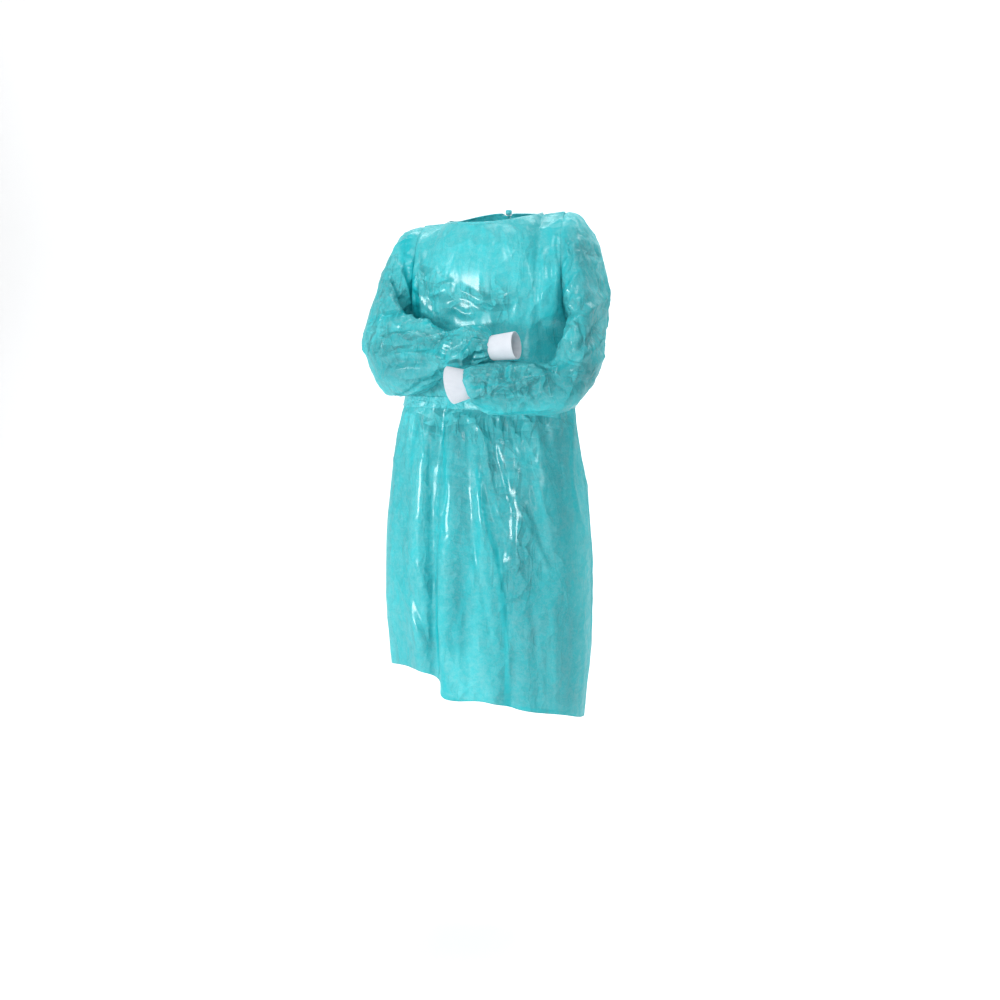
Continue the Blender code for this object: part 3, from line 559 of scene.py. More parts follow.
def pair_triangles(bm):
    """Turns triangle pairs into quads across the edge that both have as their longest."""
    longest = {face: max(face.edges, key=lambda edge: edge.calc_length()) for face in bm.faces}
    free = set(bm.faces)
    inner = []
    for face in bm.faces:
        edge = longest[face]
        others = [other for other in edge.link_faces if other is not face]
        if face in free and others and others[0] in free and longest[others[0]] is edge:
            inner.append(edge)
            free -= {face, others[0]}
    bmesh.ops.dissolve_edges(bm, edges=inner, use_verts=False)
    rest = [face for face in bm.faces if len(face.verts) == 3]
    bmesh.ops.join_triangles(bm, faces=rest, angle_face_threshold=PAIR_BEND, angle_shape_threshold=PAIR_SKEW)


def outer_side(name):
    """The outer side of a cloth wall as a coarse mesh."""
    bm = merged(name)
    outer = set(max(sides(bm), key=outwardness))
    bmesh.ops.delete(bm, geom=[face for face in bm.faces if face not in outer], context="FACES")
    pair_triangles(bm)
    return bm


def evened(points, edges, fixed, rounds):
    """Points moved towards the middle of their neighbours, a few times over."""
    starts = np.concatenate((edges[:, 0], edges[:, 1]))
    ends = np.concatenate((edges[:, 1], edges[:, 0]))
    count = np.bincount(starts, minlength=len(points))[:, None]
    for _ in range(rounds):
        total = np.stack([np.bincount(starts, points[ends, axis], len(points)) for axis in range(3)], 1)
        moved = points + 0.5 * (total / count - points)
        points = np.where(fixed[:, None], points, moved)
    return points


def sheet_of(name, levels, rounds, cut_long=False):
    """A node's outer side as a fine, even mesh object that is named as its piece of cloth."""
    rough = placed(name + "_coarse", closed_mesh(outer_side(name), name + "_coarse"))
    split = rough.modifiers.new("subdivide", "SUBSURF")
    split.levels = levels
    split.render_levels = levels
    split.boundary_smooth = "PRESERVE_CORNERS"
    fine = baked(rough)
    bm = opened(fine)
    if cut_long:
        long_edges = [edge for edge in bm.edges if edge.calc_length() > LONG_EDGE]
        bmesh.ops.subdivide_edges(bm, edges=long_edges, cuts=1, use_grid_fill=True)
    rim = np.array([vert.is_boundary for vert in bm.verts])
    edges = np.array([[vert.index for vert in edge.verts] for edge in bm.edges])
    points = np.array([vert.co for vert in bm.verts])
    bm.verts.ensure_lookup_table()
    for vert, place in zip(bm.verts, evened(points, edges, rim, rounds)):
        vert.co = place
    bm.to_mesh(fine)
    bm.free()
    fine.name = name + "_cloth"
    return placed(name + "_cloth", fine)


CLOTH = ("front", "back_left", "back_right", "sleeve_left", "sleeve_right")
BODY = CLOTH[:3]
SLEEVES = CLOTH[3:]
sheets = {name: sheet_of(name, levels=2, rounds=10, cut_long=True) for name in BODY}
sheets.update({name: sheet_of(name, levels=3, rounds=14) for name in SLEEVES})
for name, sheet in sheets.items():
    print(name, len(sheet.data.vertices), "points", len(sheet.data.polygons), "faces")

# %% [markdown]
# ## Where a crease lies
#
# A crease is drawn as a few points in a view: the photograph's, in its pixels, or a plain view
# along the floor or from above, in metres. A smooth line through the points is cast onto the
# cloth, and the cloth near the line moves in or out.

# %% Views
PHOTO = "photo"
BACK = (180, 0)
LEFT_SIDE = (90, 0)
RIGHT_SIDE = (-90, 0)
BACK_LEFT = (145, 0)
BACK_RIGHT = (-145, 0)
BELOW = (0, -90)
VIEW_DISTANCE = 2.0
LINE_STEP = 1.5 * MM


def ray(view, first, second):
    """The start and direction of the line of sight through a point of a view."""
    if view == PHOTO:
        right = (first - PICTURE_MIDDLE[0]) / FOCAL_PIXELS
        down = (second - PICTURE_MIDDLE[1]) / FOCAL_PIXELS
        return EYE, (FORWARD + RIGHTWARD * right - UPWARD * down).normalized()
    azimuth, elevation = (math.radians(angle) for angle in view)
    right = Vector((math.cos(azimuth), math.sin(azimuth), 0))
    level = Vector((-math.sin(azimuth), math.cos(azimuth), 0))
    ahead = level * math.cos(elevation) - UP * math.sin(elevation)
    above = level * math.sin(elevation) + UP * math.cos(elevation)
    return right * first + above * second - ahead * VIEW_DISTANCE, ahead


def between(a, b, c, d, t):
    """A place on the smooth curve from b to c, with a before and d after."""
    square = 2 * a - 5 * b + 4 * c - d
    cube = 3 * b - a - 3 * c + d
    return 0.5 * (2 * b + (c - a) * t + square * t**2 + cube * t**3)


def smooth_line(points, steps=12):
    """A smooth line through flat points."""
    ends = [np.array(point, float) for point in points]
    ends = [2 * ends[0] - ends[1], *ends, 2 * ends[-1] - ends[-2]]
    line = []
    for a, b, c, d in zip(ends, ends[1:], ends[2:], ends[3:]):
        line.extend(between(a, b, c, d, step / steps) for step in range(steps))
    return line + [ends[-2]]


def on_cloth(tree, view, points):
    """A drawn line laid on a sheet: points at even steps."""
    hits = []
    for first, second in smooth_line(points):
        start, ahead = ray(view, first, second)
        hit = tree.ray_cast(start, ahead)[0]
        if hit is not None:
            hits.append(np.array(hit))
    if len(hits) < 2:
        return np.zeros((0, 3))
    hits = np.array(hits)
    lengths = np.r_[0, np.cumsum(np.linalg.norm(np.diff(hits, axis=0), axis=1))]
    even = np.linspace(0, lengths[-1], max(3, int(lengths[-1] / LINE_STEP)))
    return np.stack([np.interp(even, lengths, hits[:, axis]) for axis in range(3)], 1)


# %% [markdown]
# ## The creases
#
# Widths and depths are in millimetres; a negative depth is a trough. A ridge has a crisp crest,
# as folded film has, and a soft one is round. The hidden sides get creases like those that show.

# %% Crease tables
Crease = namedtuple("Crease", "points width depth soft", defaults=(False,))

CHEST = (
    Crease([(420, 234), (420, 272), (422, 318)], 4.0, 4.2),
    Crease([(413, 250), (413, 285), (418, 322)], 6.0, -3.0, True),
    Crease([(543, 238), (544, 272), (541, 318)], 4.0, 3.4),
    Crease([(551, 246), (552, 280), (548, 312)], 7.0, -2.0, True),
    Crease([(560, 226), (558, 246), (561, 270)], 6.0, -2.6, True),
    Crease([(425, 291), (438, 285), (456, 282)], 3.2, 2.6),
    Crease([(426, 296), (437, 294), (447, 289)], 3.0, 2.0),
    Crease([(452, 284), (468, 294), (484, 301), (505, 297), (522, 288)], 5.0, 3.0),
    Crease([(445, 304), (461, 298), (478, 303)], 5.0, -1.6, True),
    Crease([(444, 312), (454, 308), (467, 314), (484, 309)], 4.0, 2.6),
    Crease([(521, 290), (517, 306), (513, 328)], 3.5, 2.2),
    Crease([(532, 283), (528, 305), (521, 330)], 5.0, -1.5, True),
    Crease([(425, 270), (430, 300), (440, 322)], 6.0, -1.4, True),
    Crease([(442, 226), (445, 240), (452, 256)], 5.0, 1.2),
    Crease([(500, 224), (499, 236), (492, 252)], 5.0, -1.2, True),
    Crease([(523, 222), (528, 238), (531, 258)], 5.0, 1.3),
)

SKIRT = (
    Crease([(440, 420), (442, 500), (440, 590), (441, 690)], 5.0, 3.6),
    Crease([(430, 424), (431, 500), (433, 600), (434, 684)], 8.0, -4.2, True),
    Crease([(482, 416), (487, 461), (499, 512), (518, 560)], 4.5, 4.0),
    Crease([(492, 440), (505, 490), (516, 530)], 7.0, -2.8, True),
    Crease([(476, 430), (478, 480), (482, 520), (495, 566), (506, 640), (507, 706)], 5.0, 3.2),
    Crease([(468, 440), (470, 500), (476, 560), (490, 640), (494, 702)], 10.0, -3.6, True),
    Crease([(520, 469), (517, 486), (515, 501)], 3.0, 2.4),
    Crease([(519, 502), (532, 534), (546, 563), (559, 573)], 4.0, 3.4),
    Crease([(534, 467), (541, 494), (548, 525), (558, 573)], 4.0, 3.2),
    Crease([(527, 500), (536, 528), (547, 553)], 6.0, -2.6, True),
    Crease([(517, 498), (517, 530), (518, 560), (514, 604), (510, 660), (508, 705)], 4.0, 3.4),
    Crease([(500, 565), (509, 561), (518, 560)], 3.0, 2.4),
    Crease([(503, 571), (511, 567), (519, 569)], 2.6, 1.8),
    Crease([(500, 567), (507, 585), (513, 602)], 4.0, 2.2),
    Crease([(420, 418), (422, 442), (424, 463)], 2.8, 2.4),
    Crease([(430, 418), (427, 442), (424, 463)], 2.8, 2.2),
    Crease([(438, 545), (451, 535), (465, 524)], 2.6, 1.8),
    Crease([(440, 561), (454, 561), (470, 558)], 2.6, 1.4),
    Crease([(452, 572), (462, 567), (471, 558)], 2.8, 1.6),
    Crease([(389, 553), (407, 600), (422, 644), (430, 668)], 4.5, 2.8),
    Crease([(399, 502), (407, 542), (428, 593), (436, 624)], 5.0, 2.4),
    Crease([(396, 520), (402, 560), (416, 606), (428, 642)], 8.0, -2.6, True),
    Crease([(407, 528), (417, 518), (424, 510), (430, 479)], 2.8, 1.6),
    Crease([(390, 470), (398, 450), (408, 426)], 3.6, 1.8),
    Crease([(572, 416), (571, 461), (576, 502), (584, 536)], 5.0, 3.4),
    Crease([(563, 420), (562, 470), (564, 520)], 9.0, -3.2, True),
    Crease([(584, 600), (583, 660), (580, 714)], 4.0, 2.4),
    Crease([(574, 590), (573, 650), (571, 712)], 7.0, -2.4, True),
    Crease([(455, 580), (458, 630), (462, 700)], 9.0, 2.4, True),
    Crease([(530, 590), (536, 640), (540, 712)], 8.0, -2.4, True),
    Crease([(550, 590), (554, 640), (556, 714)], 6.0, 2.0),
    Crease([(466, 412), (474, 422), (483, 432)], 3.2, 2.2),
    Crease([(508, 416), (514, 434), (521, 456)], 3.6, 2.4),
    Crease([(526, 414), (524, 436), (520, 466)], 3.6, 2.0),
    Crease([(500, 414), (504, 432), (506, 452)], 4.5, -2.0),
    Crease([(536, 414), (537, 440), (534, 466)], 4.5, -2.0),
    Crease([(455, 412), (460, 430), (464, 450)], 3.6, 1.8),
)

CREASES = {}
CREASES["front", PHOTO] = CHEST + SKIRT
CREASES["sleeve_right", PHOTO] = (
    Crease([(395, 257), (405, 283), (410, 306), (413, 318)], 4.5, 3.2),
    Crease([(388, 268), (397, 288), (402, 314)], 6.0, -2.8, True),
    Crease([(400, 284), (403, 300), (402, 315)], 3.5, 2.2),
    Crease([(378, 300), (382, 309), (386, 318)], 4.0, 2.4),
    Crease([(382, 270), (377, 290), (380, 308)], 5.0, -2.0, True),
    Crease([(401, 236), (396, 250), (386, 268)], 5.0, 1.8),
    Crease([(405, 262), (409, 285), (414, 308)], 4.0, -2.0),
    Crease([(372, 322), (390, 321), (406, 318), (424, 321), (449, 334)], 5.0, 3.4),
    Crease([(376, 330), (398, 329), (420, 330), (438, 338)], 8.0, -3.0, True),
    Crease([(390, 357), (400, 340), (411, 329), (421, 321)], 3.5, 2.2),
    Crease([(438, 353), (453, 338), (464, 330), (478, 326)], 4.5, 4.2),
    Crease([(430, 346), (445, 336), (456, 328)], 6.0, -3.2, True),
    Crease([(444, 356), (461, 350), (477, 334)], 6.0, -3.0, True),
    Crease([(463, 368), (464, 354), (479, 333)], 3.5, 3.0),
    Crease([(370, 343), (381, 356), (411, 353), (443, 358), (449, 367)], 4.5, 3.0),
    Crease([(377, 367), (400, 362), (425, 363), (440, 370)], 7.0, -3.2, True),
    Crease([(380, 382), (394, 372), (412, 364)], 5.0, 2.2),
    Crease([(478, 327), (486, 336), (489, 350), (486, 363)], 4.0, 2.6),
    Crease([(470, 366), (476, 350), (484, 338)], 4.0, -2.4),
    Crease([(410, 348), (419, 346), (427, 347)], 3.0, 1.8),
)
CREASES["sleeve_right", RIGHT_SIDE] = (
    Crease([(0.02, -0.09), (-0.01, -0.16), (-0.05, -0.23)], 7.0, 3.0),
    Crease([(-0.03, -0.07), (-0.04, -0.14), (-0.02, -0.22)], 9.0, -3.0, True),
    Crease([(0.05, -0.18), (0.08, -0.23), (0.13, -0.26)], 6.0, 3.0),
    Crease([(0.00, -0.24), (0.05, -0.28), (0.11, -0.30)], 7.0, -3.0, True),
    Crease([(-0.02, -0.27), (0.03, -0.31), (0.09, -0.33)], 5.0, 2.6),
)
CREASES["sleeve_right", BACK_RIGHT] = (
    Crease([(0.10, -0.06), (0.13, -0.14), (0.14, -0.22)], 7.0, 2.8),
    Crease([(0.14, -0.05), (0.17, -0.13), (0.18, -0.21)], 8.0, -2.8, True),
    Crease([(0.11, -0.20), (0.15, -0.25), (0.19, -0.27)], 6.0, 2.6),
)
CREASES["sleeve_right", BELOW] = (
    Crease([(-0.20, 0.02), (-0.14, 0.10), (-0.05, 0.17)], 6.0, 2.6),
    Crease([(-0.22, 0.06), (-0.15, 0.14), (-0.06, 0.20)], 7.0, -2.4, True),
)

CREASES["sleeve_left", PHOTO] = (
    Crease([(578, 229), (583, 235), (588, 241)], 2.5, 1.6),
    Crease([(582, 227), (587, 232), (591, 238)], 2.5, -1.4),
    Crease([(568, 300), (572, 286), (580, 270)], 3.5, 2.8),
    Crease([(553, 324), (566, 300), (577, 278)], 4.0, 3.0),
    Crease([(560, 322), (572, 306), (583, 288)], 7.0, -3.0, True),
    Crease([(569, 240), (571, 256), (568, 276)], 5.0, -2.4, True),
    Crease([(587, 259), (596, 265), (602, 262), (607, 275)], 3.0, 2.0),
    Crease([(590, 268), (598, 276), (604, 290)], 5.0, 2.2),
    Crease([(592, 244), (600, 258), (606, 272)], 5.0, -2.0, True),
    Crease([(567, 327), (583, 315), (598, 303), (611, 291)], 4.5, 3.4),
    Crease([(563, 318), (580, 306), (596, 294)], 8.0, -2.6, True),
    Crease([(553, 373), (567, 367), (582, 357), (596, 343), (607, 322)], 4.5, 4.4),
    Crease([(560, 361), (576, 351), (590, 337), (603, 314)], 8.0, -3.6, True),
    Crease([(585, 341), (593, 336), (603, 326)], 3.0, 2.2),
    Crease([(588, 352), (597, 347), (603, 338)], 3.0, 2.0),
    Crease([(477, 388), (494, 387), (512, 385), (534, 380), (554, 373)], 4.0, 4.0),
    Crease([(480, 394), (500, 393), (524, 390), (545, 383)], 7.0, -3.2, True),
    Crease([(510, 362), (510, 372), (508, 383)], 3.5, 2.6),
    Crease([(505, 364), (504, 374), (502, 382)], 4.5, -2.2, True),
    Crease([(513, 388), (522, 396), (531, 407)], 4.0, 3.0),
    Crease([(525, 391), (531, 398), (534, 408)], 3.0, 2.4),
    Crease([(519, 394), (524, 402), (526, 411)], 4.0, -2.2, True),
    Crease([(562, 380), (580, 374), (602, 365)], 5.0, 2.4),
    Crease([(556, 390), (576, 384), (597, 378)], 7.0, -2.4, True),
    Crease([(545, 364), (552, 369), (558, 366)], 3.5, 2.6),
    Crease([(524, 366), (534, 371), (547, 370)], 4.0, 2.0),
    Crease([(478, 372), (486, 378), (494, 380)], 3.5, 2.0),
    Crease([(480, 405), (500, 409), (540, 408), (568, 402)], 6.0, 2.0),
)
CREASES["sleeve_left", LEFT_SIDE] = (
    Crease([(-0.02, -0.08), (0.00, -0.15), (0.01, -0.22)], 7.0, 3.0),
    Crease([(0.03, -0.08), (0.04, -0.15), (0.02, -0.23)], 8.0, -3.0, True),
    Crease([(-0.03, -0.22), (-0.08, -0.25), (-0.13, -0.27)], 6.0, 3.2),
    Crease([(0.00, -0.25), (-0.05, -0.29), (-0.11, -0.31)], 7.0, -3.0, True),
)
CREASES["sleeve_left", BACK_LEFT] = (
    Crease([(-0.11, -0.05), (-0.14, -0.13), (-0.15, -0.21)], 7.0, 2.8),
    Crease([(-0.16, -0.06), (-0.18, -0.14), (-0.19, -0.22)], 8.0, -2.8, True),
    Crease([(-0.13, -0.22), (-0.16, -0.27), (-0.20, -0.30)], 6.0, 2.6),
)
CREASES["sleeve_left", BELOW] = (
    Crease([(0.20, 0.04), (0.15, 0.12), (0.07, 0.20)], 6.0, 2.6),
    Crease([(0.18, 0.00), (0.12, 0.10), (0.05, 0.17)], 7.0, -2.4, True),
)

# %% [markdown]
# The back has long soft folds from the belt to the hem, short gathers above and below the belt,
# and slanting creases from the shoulder blades to the armholes.

# %% Back creases
CREASES["back_left", BACK] = (
    Crease([(-0.04, -0.37), (-0.05, -0.60), (-0.06, -0.98)], 9.0, 3.4),
    Crease([(-0.07, -0.37), (-0.08, -0.62), (-0.10, -0.98)], 10.0, -3.6, True),
    Crease([(-0.11, -0.38), (-0.12, -0.62), (-0.14, -0.98)], 7.0, 3.0),
    Crease([(0.00, -0.37), (0.00, -0.55), (0.01, -0.78)], 8.0, -2.6, True),
    Crease([(0.04, -0.38), (0.04, -0.60), (0.03, -0.97)], 6.0, 2.6),
    Crease([(-0.05, -0.33), (-0.05, -0.25), (-0.03, -0.17)], 7.0, 2.4),
    Crease([(-0.09, -0.33), (-0.10, -0.26), (-0.11, -0.20)], 6.0, -2.2, True),
    Crease([(-0.02, -0.06), (-0.06, -0.10), (-0.12, -0.15)], 8.0, 2.4),
    Crease([(-0.04, -0.10), (-0.08, -0.14), (-0.13, -0.19)], 9.0, -2.2, True),
    Crease([(0.02, -0.14), (-0.03, -0.18), (-0.09, -0.21)], 7.0, 1.8),
)
CREASES["back_left", LEFT_SIDE] = (
    Crease([(0.06, -0.38), (0.06, -0.60), (0.07, -0.98)], 8.0, 3.0),
    Crease([(0.02, -0.39), (0.02, -0.62), (0.02, -0.98)], 9.0, -3.0, True),
)
CREASES["back_right", BACK] = (
    Crease([(0.09, -0.37), (0.10, -0.60), (0.12, -0.95)], 9.0, 3.2),
    Crease([(0.13, -0.37), (0.14, -0.62), (0.17, -0.95)], 10.0, -3.4, True),
    Crease([(0.06, -0.37), (0.07, -0.50), (0.07, -0.72)], 7.0, -2.4, True),
    Crease([(0.17, -0.38), (0.18, -0.62), (0.20, -0.95)], 7.0, 2.8),
    Crease([(0.07, -0.33), (0.07, -0.25), (0.06, -0.18)], 7.0, 2.2),
    Crease([(0.12, -0.33), (0.12, -0.27), (0.13, -0.21)], 6.0, -2.2, True),
    Crease([(0.04, -0.07), (0.08, -0.11), (0.13, -0.16)], 8.0, 2.2),
    Crease([(0.05, -0.12), (0.09, -0.15), (0.14, -0.20)], 9.0, -2.0, True),
)
CREASES["back_right", RIGHT_SIDE] = (
    Crease([(-0.06, -0.38), (-0.07, -0.60), (-0.08, -0.95)], 8.0, 2.8),
    Crease([(-0.02, -0.39), (-0.02, -0.62), (-0.03, -0.95)], 9.0, -2.8, True),
)

# %% Laying creases on the sheets
BOLDNESS = {"front": 1.35, "back_left": 1.3, "back_right": 1.3, "sleeve_left": 2.0, "sleeve_right": 2.0}
RIPPLE = 0.030
REACH = 3.0
CREST = 0.60
CREST_POWER = 1.2
END_SHARE = 0.28
UNEVEN = 0.45
UNEVEN_SEED = (1.37, 1.73)
NOISE_SCALE = 1.25
PLACE_FACTORS = (73856093, 19349663, 83492791)
SALT_FACTOR = 2971215073
MIX_FACTORS = (1274126177, 668265263)


def trees():
    """A search tree of each sheet, for casting onto it."""
    found = {}
    for name, sheet in sheets.items():
        bm = opened(sheet.data)
        found[name] = BVHTree.FromBMesh(bm)
        bm.free()
    return found


def read(items, quality):
    """A vector quality of a mesh's points as an array."""
    flat = np.empty(len(items) * 3)
    items.foreach_get(quality, flat)
    return flat.reshape(-1, 3)


def lattice(cells, salt):
    """A fixed number from -1 to 1 for each whole place of a lattice, mixed by large odd factors."""
    first, second, third = (cells[:, axis] * factor for axis, factor in enumerate(PLACE_FACTORS))
    mixed = first ^ second ^ third ^ salt * SALT_FACTOR
    mixed = (mixed ^ (mixed >> 13)) * MIX_FACTORS[0] & 0xFFFFFFFF
    mixed = (mixed ^ (mixed >> 16)) * MIX_FACTORS[1] & 0xFFFFFFFF
    return (mixed >> 8 & 0xFFFF) / 32767.5 - 1


def smooth_noise(places, salt=0):
    """Smooth noise from about -0.6 to 0.6, zero at whole places: the same on every run."""
    places = np.asarray(places, float)
    cells = np.floor(places).astype(np.int64)
    inside = places - cells
    ease = inside**3 * (inside * (inside * 6 - 15) + 10)
    total = np.zeros(len(places))
    for corner in np.ndindex(2, 2, 2):
        weight = np.prod(np.where(corner, ease, 1 - ease), axis=1)
        slope = np.stack([lattice(cells + corner, salt + axis + 1) for axis in range(3)], 1)
        total += weight * np.sum(slope * (inside - corner), axis=1)
    return total * NOISE_SCALE


def nearest(points, line):
    """How far each point is from a line of points, and how far along the line, from 0 to 1."""
    gaps = np.linalg.norm(points[:, None, :] - line[None, :, :], axis=2)
    closest = gaps.argmin(axis=1)
    return gaps[np.arange(len(points)), closest], closest / (len(line) - 1)


def eased(share):
    """A share from 0 to 1 that starts and ends gently."""
    share = np.clip(share, 0, 1)
    return share * share * (3 - 2 * share)


def crease_height(crease, line, points):
    """How far a crease moves each point outwards, in metres."""
    width = crease.width * MM
    near = np.all((points > line.min(0) - REACH * width) & (points < line.max(0) + REACH * width), axis=1)
    height = np.zeros(len(points))
    if not near.any():
        return height
    gap, along = nearest(points[near], line)
    fade = eased(np.minimum(along, 1 - along) / END_SHARE)
    length = np.linalg.norm(np.diff(line, axis=0), axis=1).sum()
    ripple = np.empty((len(along), 3))
    ripple[:, 0] = length * along / RIPPLE
    ripple[:, 1] = crease.width * UNEVEN_SEED[0]
    ripple[:, 2] = crease.depth * UNEVEN_SEED[1]
    if crease.soft:
        shape = np.exp(-((gap / width) ** 2))
    else:
        tent = np.clip(1 - gap / (REACH * width), 0, 1)
        shape = CREST * np.exp(-((gap / width) ** CREST_POWER)) + (1 - CREST) * tent
    height[near] = crease.depth * MM * shape * fade * (1 + UNEVEN * smooth_noise(ripple))
    return height


# %% [markdown]
# Where two pieces are sewn together their edges have to stay side by side, so creases die away
# at the seams, and under the belt, which lies flat on the cloth.

# %% Seams and belt
SEAM_GAP = 1.6 * MM
SEAM_FADE = 9 * MM
BELT_MARGIN = 2 * MM
BELT_FADE = 14 * MM
belt_low, belt_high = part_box("waist_belt")
BELT_HEIGHT = (belt_low.z + belt_high.z) / 2
BELT_HALF = (belt_high.z - belt_low.z) / 2


def rim_points(sheet):
    bm = opened(sheet.data)
    found = np.array([vert.co for vert in bm.verts if vert.is_boundary])
    bm.free()
    return found


def tree_of(points):
    tree = KDTree(len(points))
    for index, point in enumerate(points):
        tree.insert(point, index)
    tree.balance()
    return tree


rims = {name: rim_points(sheet) for name, sheet in sheets.items()}


def seam_points(name):
    """The points of a sheet's edge that lie against another sheet's edge."""
    others = np.concatenate([rims[other] for other in CLOTH if other != name])
    tree = tree_of(others)
    return np.array([point for point in rims[name] if tree.find(Vector(point))[2] < SEAM_GAP])


seams = {name: seam_points(name) for name in CLOTH}


def freedom(name, points):
    """1 where the cloth is free to crease, falling to 0 at a seam or under the belt."""
    tree = tree_of(seams[name])
    gap = np.array([tree.find(Vector(point))[2] for point in points])
    free = gap / SEAM_FADE
    if name in BODY:
        off_belt = np.abs(points[:, 2] - BELT_HEIGHT) - BELT_HALF - BELT_MARGIN
        free = np.minimum(free, off_belt / BELT_FADE)
    return eased(free)


# %% Small folds
GATHER_HEIGHT = 2.2 * MM
GATHER_FADE = 0.055
GATHER_PITCH = 0.020
GATHER_RADIUS = 0.15
GATHER_WANDER = (0.05, 0.12)
GATHER_SEED = 4.4
GATHER_LEAN = 1.6
WANDER = (3.7, 1.9, 8.3)
BEND_SCALE = 0.6
BEND = 0.7
RIDGE_SHARPNESS = 4.2
RIDGE_POWER = 1.4


def belt_gathers(points):
    """Short uneven upright gathers above and below the belt."""
    turn = np.arctan2(points[:, 0], -points[:, 1]) * GATHER_RADIUS
    off = np.abs(points[:, 2] - BELT_HEIGHT)
    seed = np.full(len(points), GATHER_SEED)
    place = np.stack([turn / GATHER_WANDER[0], points[:, 2] / GATHER_WANDER[1], seed], 1)
    lean = smooth_noise(place) * GATHER_LEAN
    height = np.cos(2 * math.pi * turn / GATHER_PITCH + 3 * lean) * (0.55 + 0.9 * lean)
    return GATHER_HEIGHT * height * np.exp(-off / GATHER_FADE)


def wrinkles(points, size, stretch, seed):
    """Uneven crisp wrinkles of a size, from 0 to 1: ridges where smooth noise crosses zero."""
    place = points / (size, size, size * stretch) + np.array(WANDER) * seed
    bend = np.stack([smooth_noise(place * BEND_SCALE, 10 * (axis + 1)) for axis in range(3)], 1)
    return np.maximum(0, 1 - RIDGE_SHARPNESS * np.abs(smooth_noise(place + bend * BEND))) ** RIDGE_POWER


Wrinkling = namedtuple("Wrinkling", "size stretch height seed")
BODY_WRINKLES = (Wrinkling(0.095, 3.0, 1.9, 1), Wrinkling(0.045, 2.2, 0.9, 2))
SLEEVE_WRINKLES = (
    Wrinkling(0.075, 1.2, 2.8, 4),
    Wrinkling(0.040, 1.0, 1.5, 5),
    Wrinkling(0.020, 1.0, 0.6, 6),
)


# %% Gathers into the cuffs
CUFF_GATHERS = 15
CUFF_GATHER_HEIGHT = 3.4 * MM
CUFF_GATHER_RISE = 0.008
CUFF_GATHER_FADE = 0.026
CUFF_GATHER_REACH = 0.12
CUFF_GATHER_START = -0.01
CUFF_GATHER_WANDER = 1.7
CUFF_GATHER_DRIFT = 0.05
CUFF_SEAM_GAP = 4 * MM


def cuff_axis(name):
    """The middle of a cuff's seam end, the way from it up the sleeve, and two directions across."""
    low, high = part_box(name)
    middle = (low + high) / 2
    bm = merged(name)
    tree = tree_of(np.array([vert.co for vert in bm.verts]))
    bm.free()
    rim = rims[name.replace("cuff", "sleeve")]
    seam = np.array([point for point in rim if tree.find(Vector(point))[2] < CUFF_SEAM_GAP])
    start = Vector(seam.mean(axis=0))
    up_sleeve = (start - middle).normalized()
    first = up_sleeve.orthogonal().normalized()
    return start, up_sleeve, first, up_sleeve.cross(first)


def cuff_gathers(side, points):
    """Folds that run up the sleeve from the seam with its cuff."""
    start, up_sleeve, first, second = cuff_axis("cuff_" + side)
    away = points - np.array(start)
    along = away @ np.array(up_sleeve)
    distance = np.linalg.norm(away, axis=1)
    turn = np.arctan2(away @ np.array(second), away @ np.array(first))
    round_cuff = np.stack([np.cos(turn), np.sin(turn)], 1) * CUFF_GATHER_WANDER
    lean = smooth_noise(np.column_stack([round_cuff, along / CUFF_GATHER_DRIFT]))
    fold = np.cos(CUFF_GATHERS * turn + 4 * lean)
    inner = np.maximum(along, 0)
    rise = np.minimum(1, 0.25 + inner / CUFF_GATHER_RISE)
    height = (fold - 0.2) * (0.75 + lean) * rise * np.exp(-inner / CUFF_GATHER_FADE)
    near = (distance < CUFF_GATHER_REACH) & (along > CUFF_GATHER_START)
    return np.where(near, CUFF_GATHER_HEIGHT * height, 0)


# %% Crease every sheet
casting = trees()
creased = {name: [] for name in CLOTH}
for (piece, view), table in CREASES.items():
    for crease in table:
        line = on_cloth(casting[piece], view, crease.points)
        if len(line) > 2:
            creased[piece].append((crease, line))
        else:
            print("missed", piece, crease.points)

for name, sheet in sheets.items():
    points = read(sheet.data.vertices, "co")
    outward = read(sheet.data.vertex_normals, "vector")
    height = BOLDNESS[name] * sum(crease_height(crease, line, points) for crease, line in creased[name])
    for kind in BODY_WRINKLES if name in BODY else SLEEVE_WRINKLES:
        height = height + kind.height * MM * wrinkles(points, kind.size, kind.stretch, kind.seed)
    if name in BODY:
        height = height + belt_gathers(points)
    else:
        height = height + cuff_gathers(name.split("_")[1], points)
    height = height * freedom(name, points)
    moved = points + outward * height[:, None]
    sheet.data.vertices.foreach_set("co", moved.ravel())
    sheet.data.update()
    print(name, "creases", len(creased[name]), "moved", height.min() / MM, height.max() / MM)

# %% [markdown]
# ## Tone with painted shade, layers and crumpling
#
# Patches drawn in the photograph's view give the sheets their deeper and paler places, which are
# painted shade where the wearer's arms and legs show through the cloth, the bands where two layers
# lie on each other, and the places where the film is most crumpled.

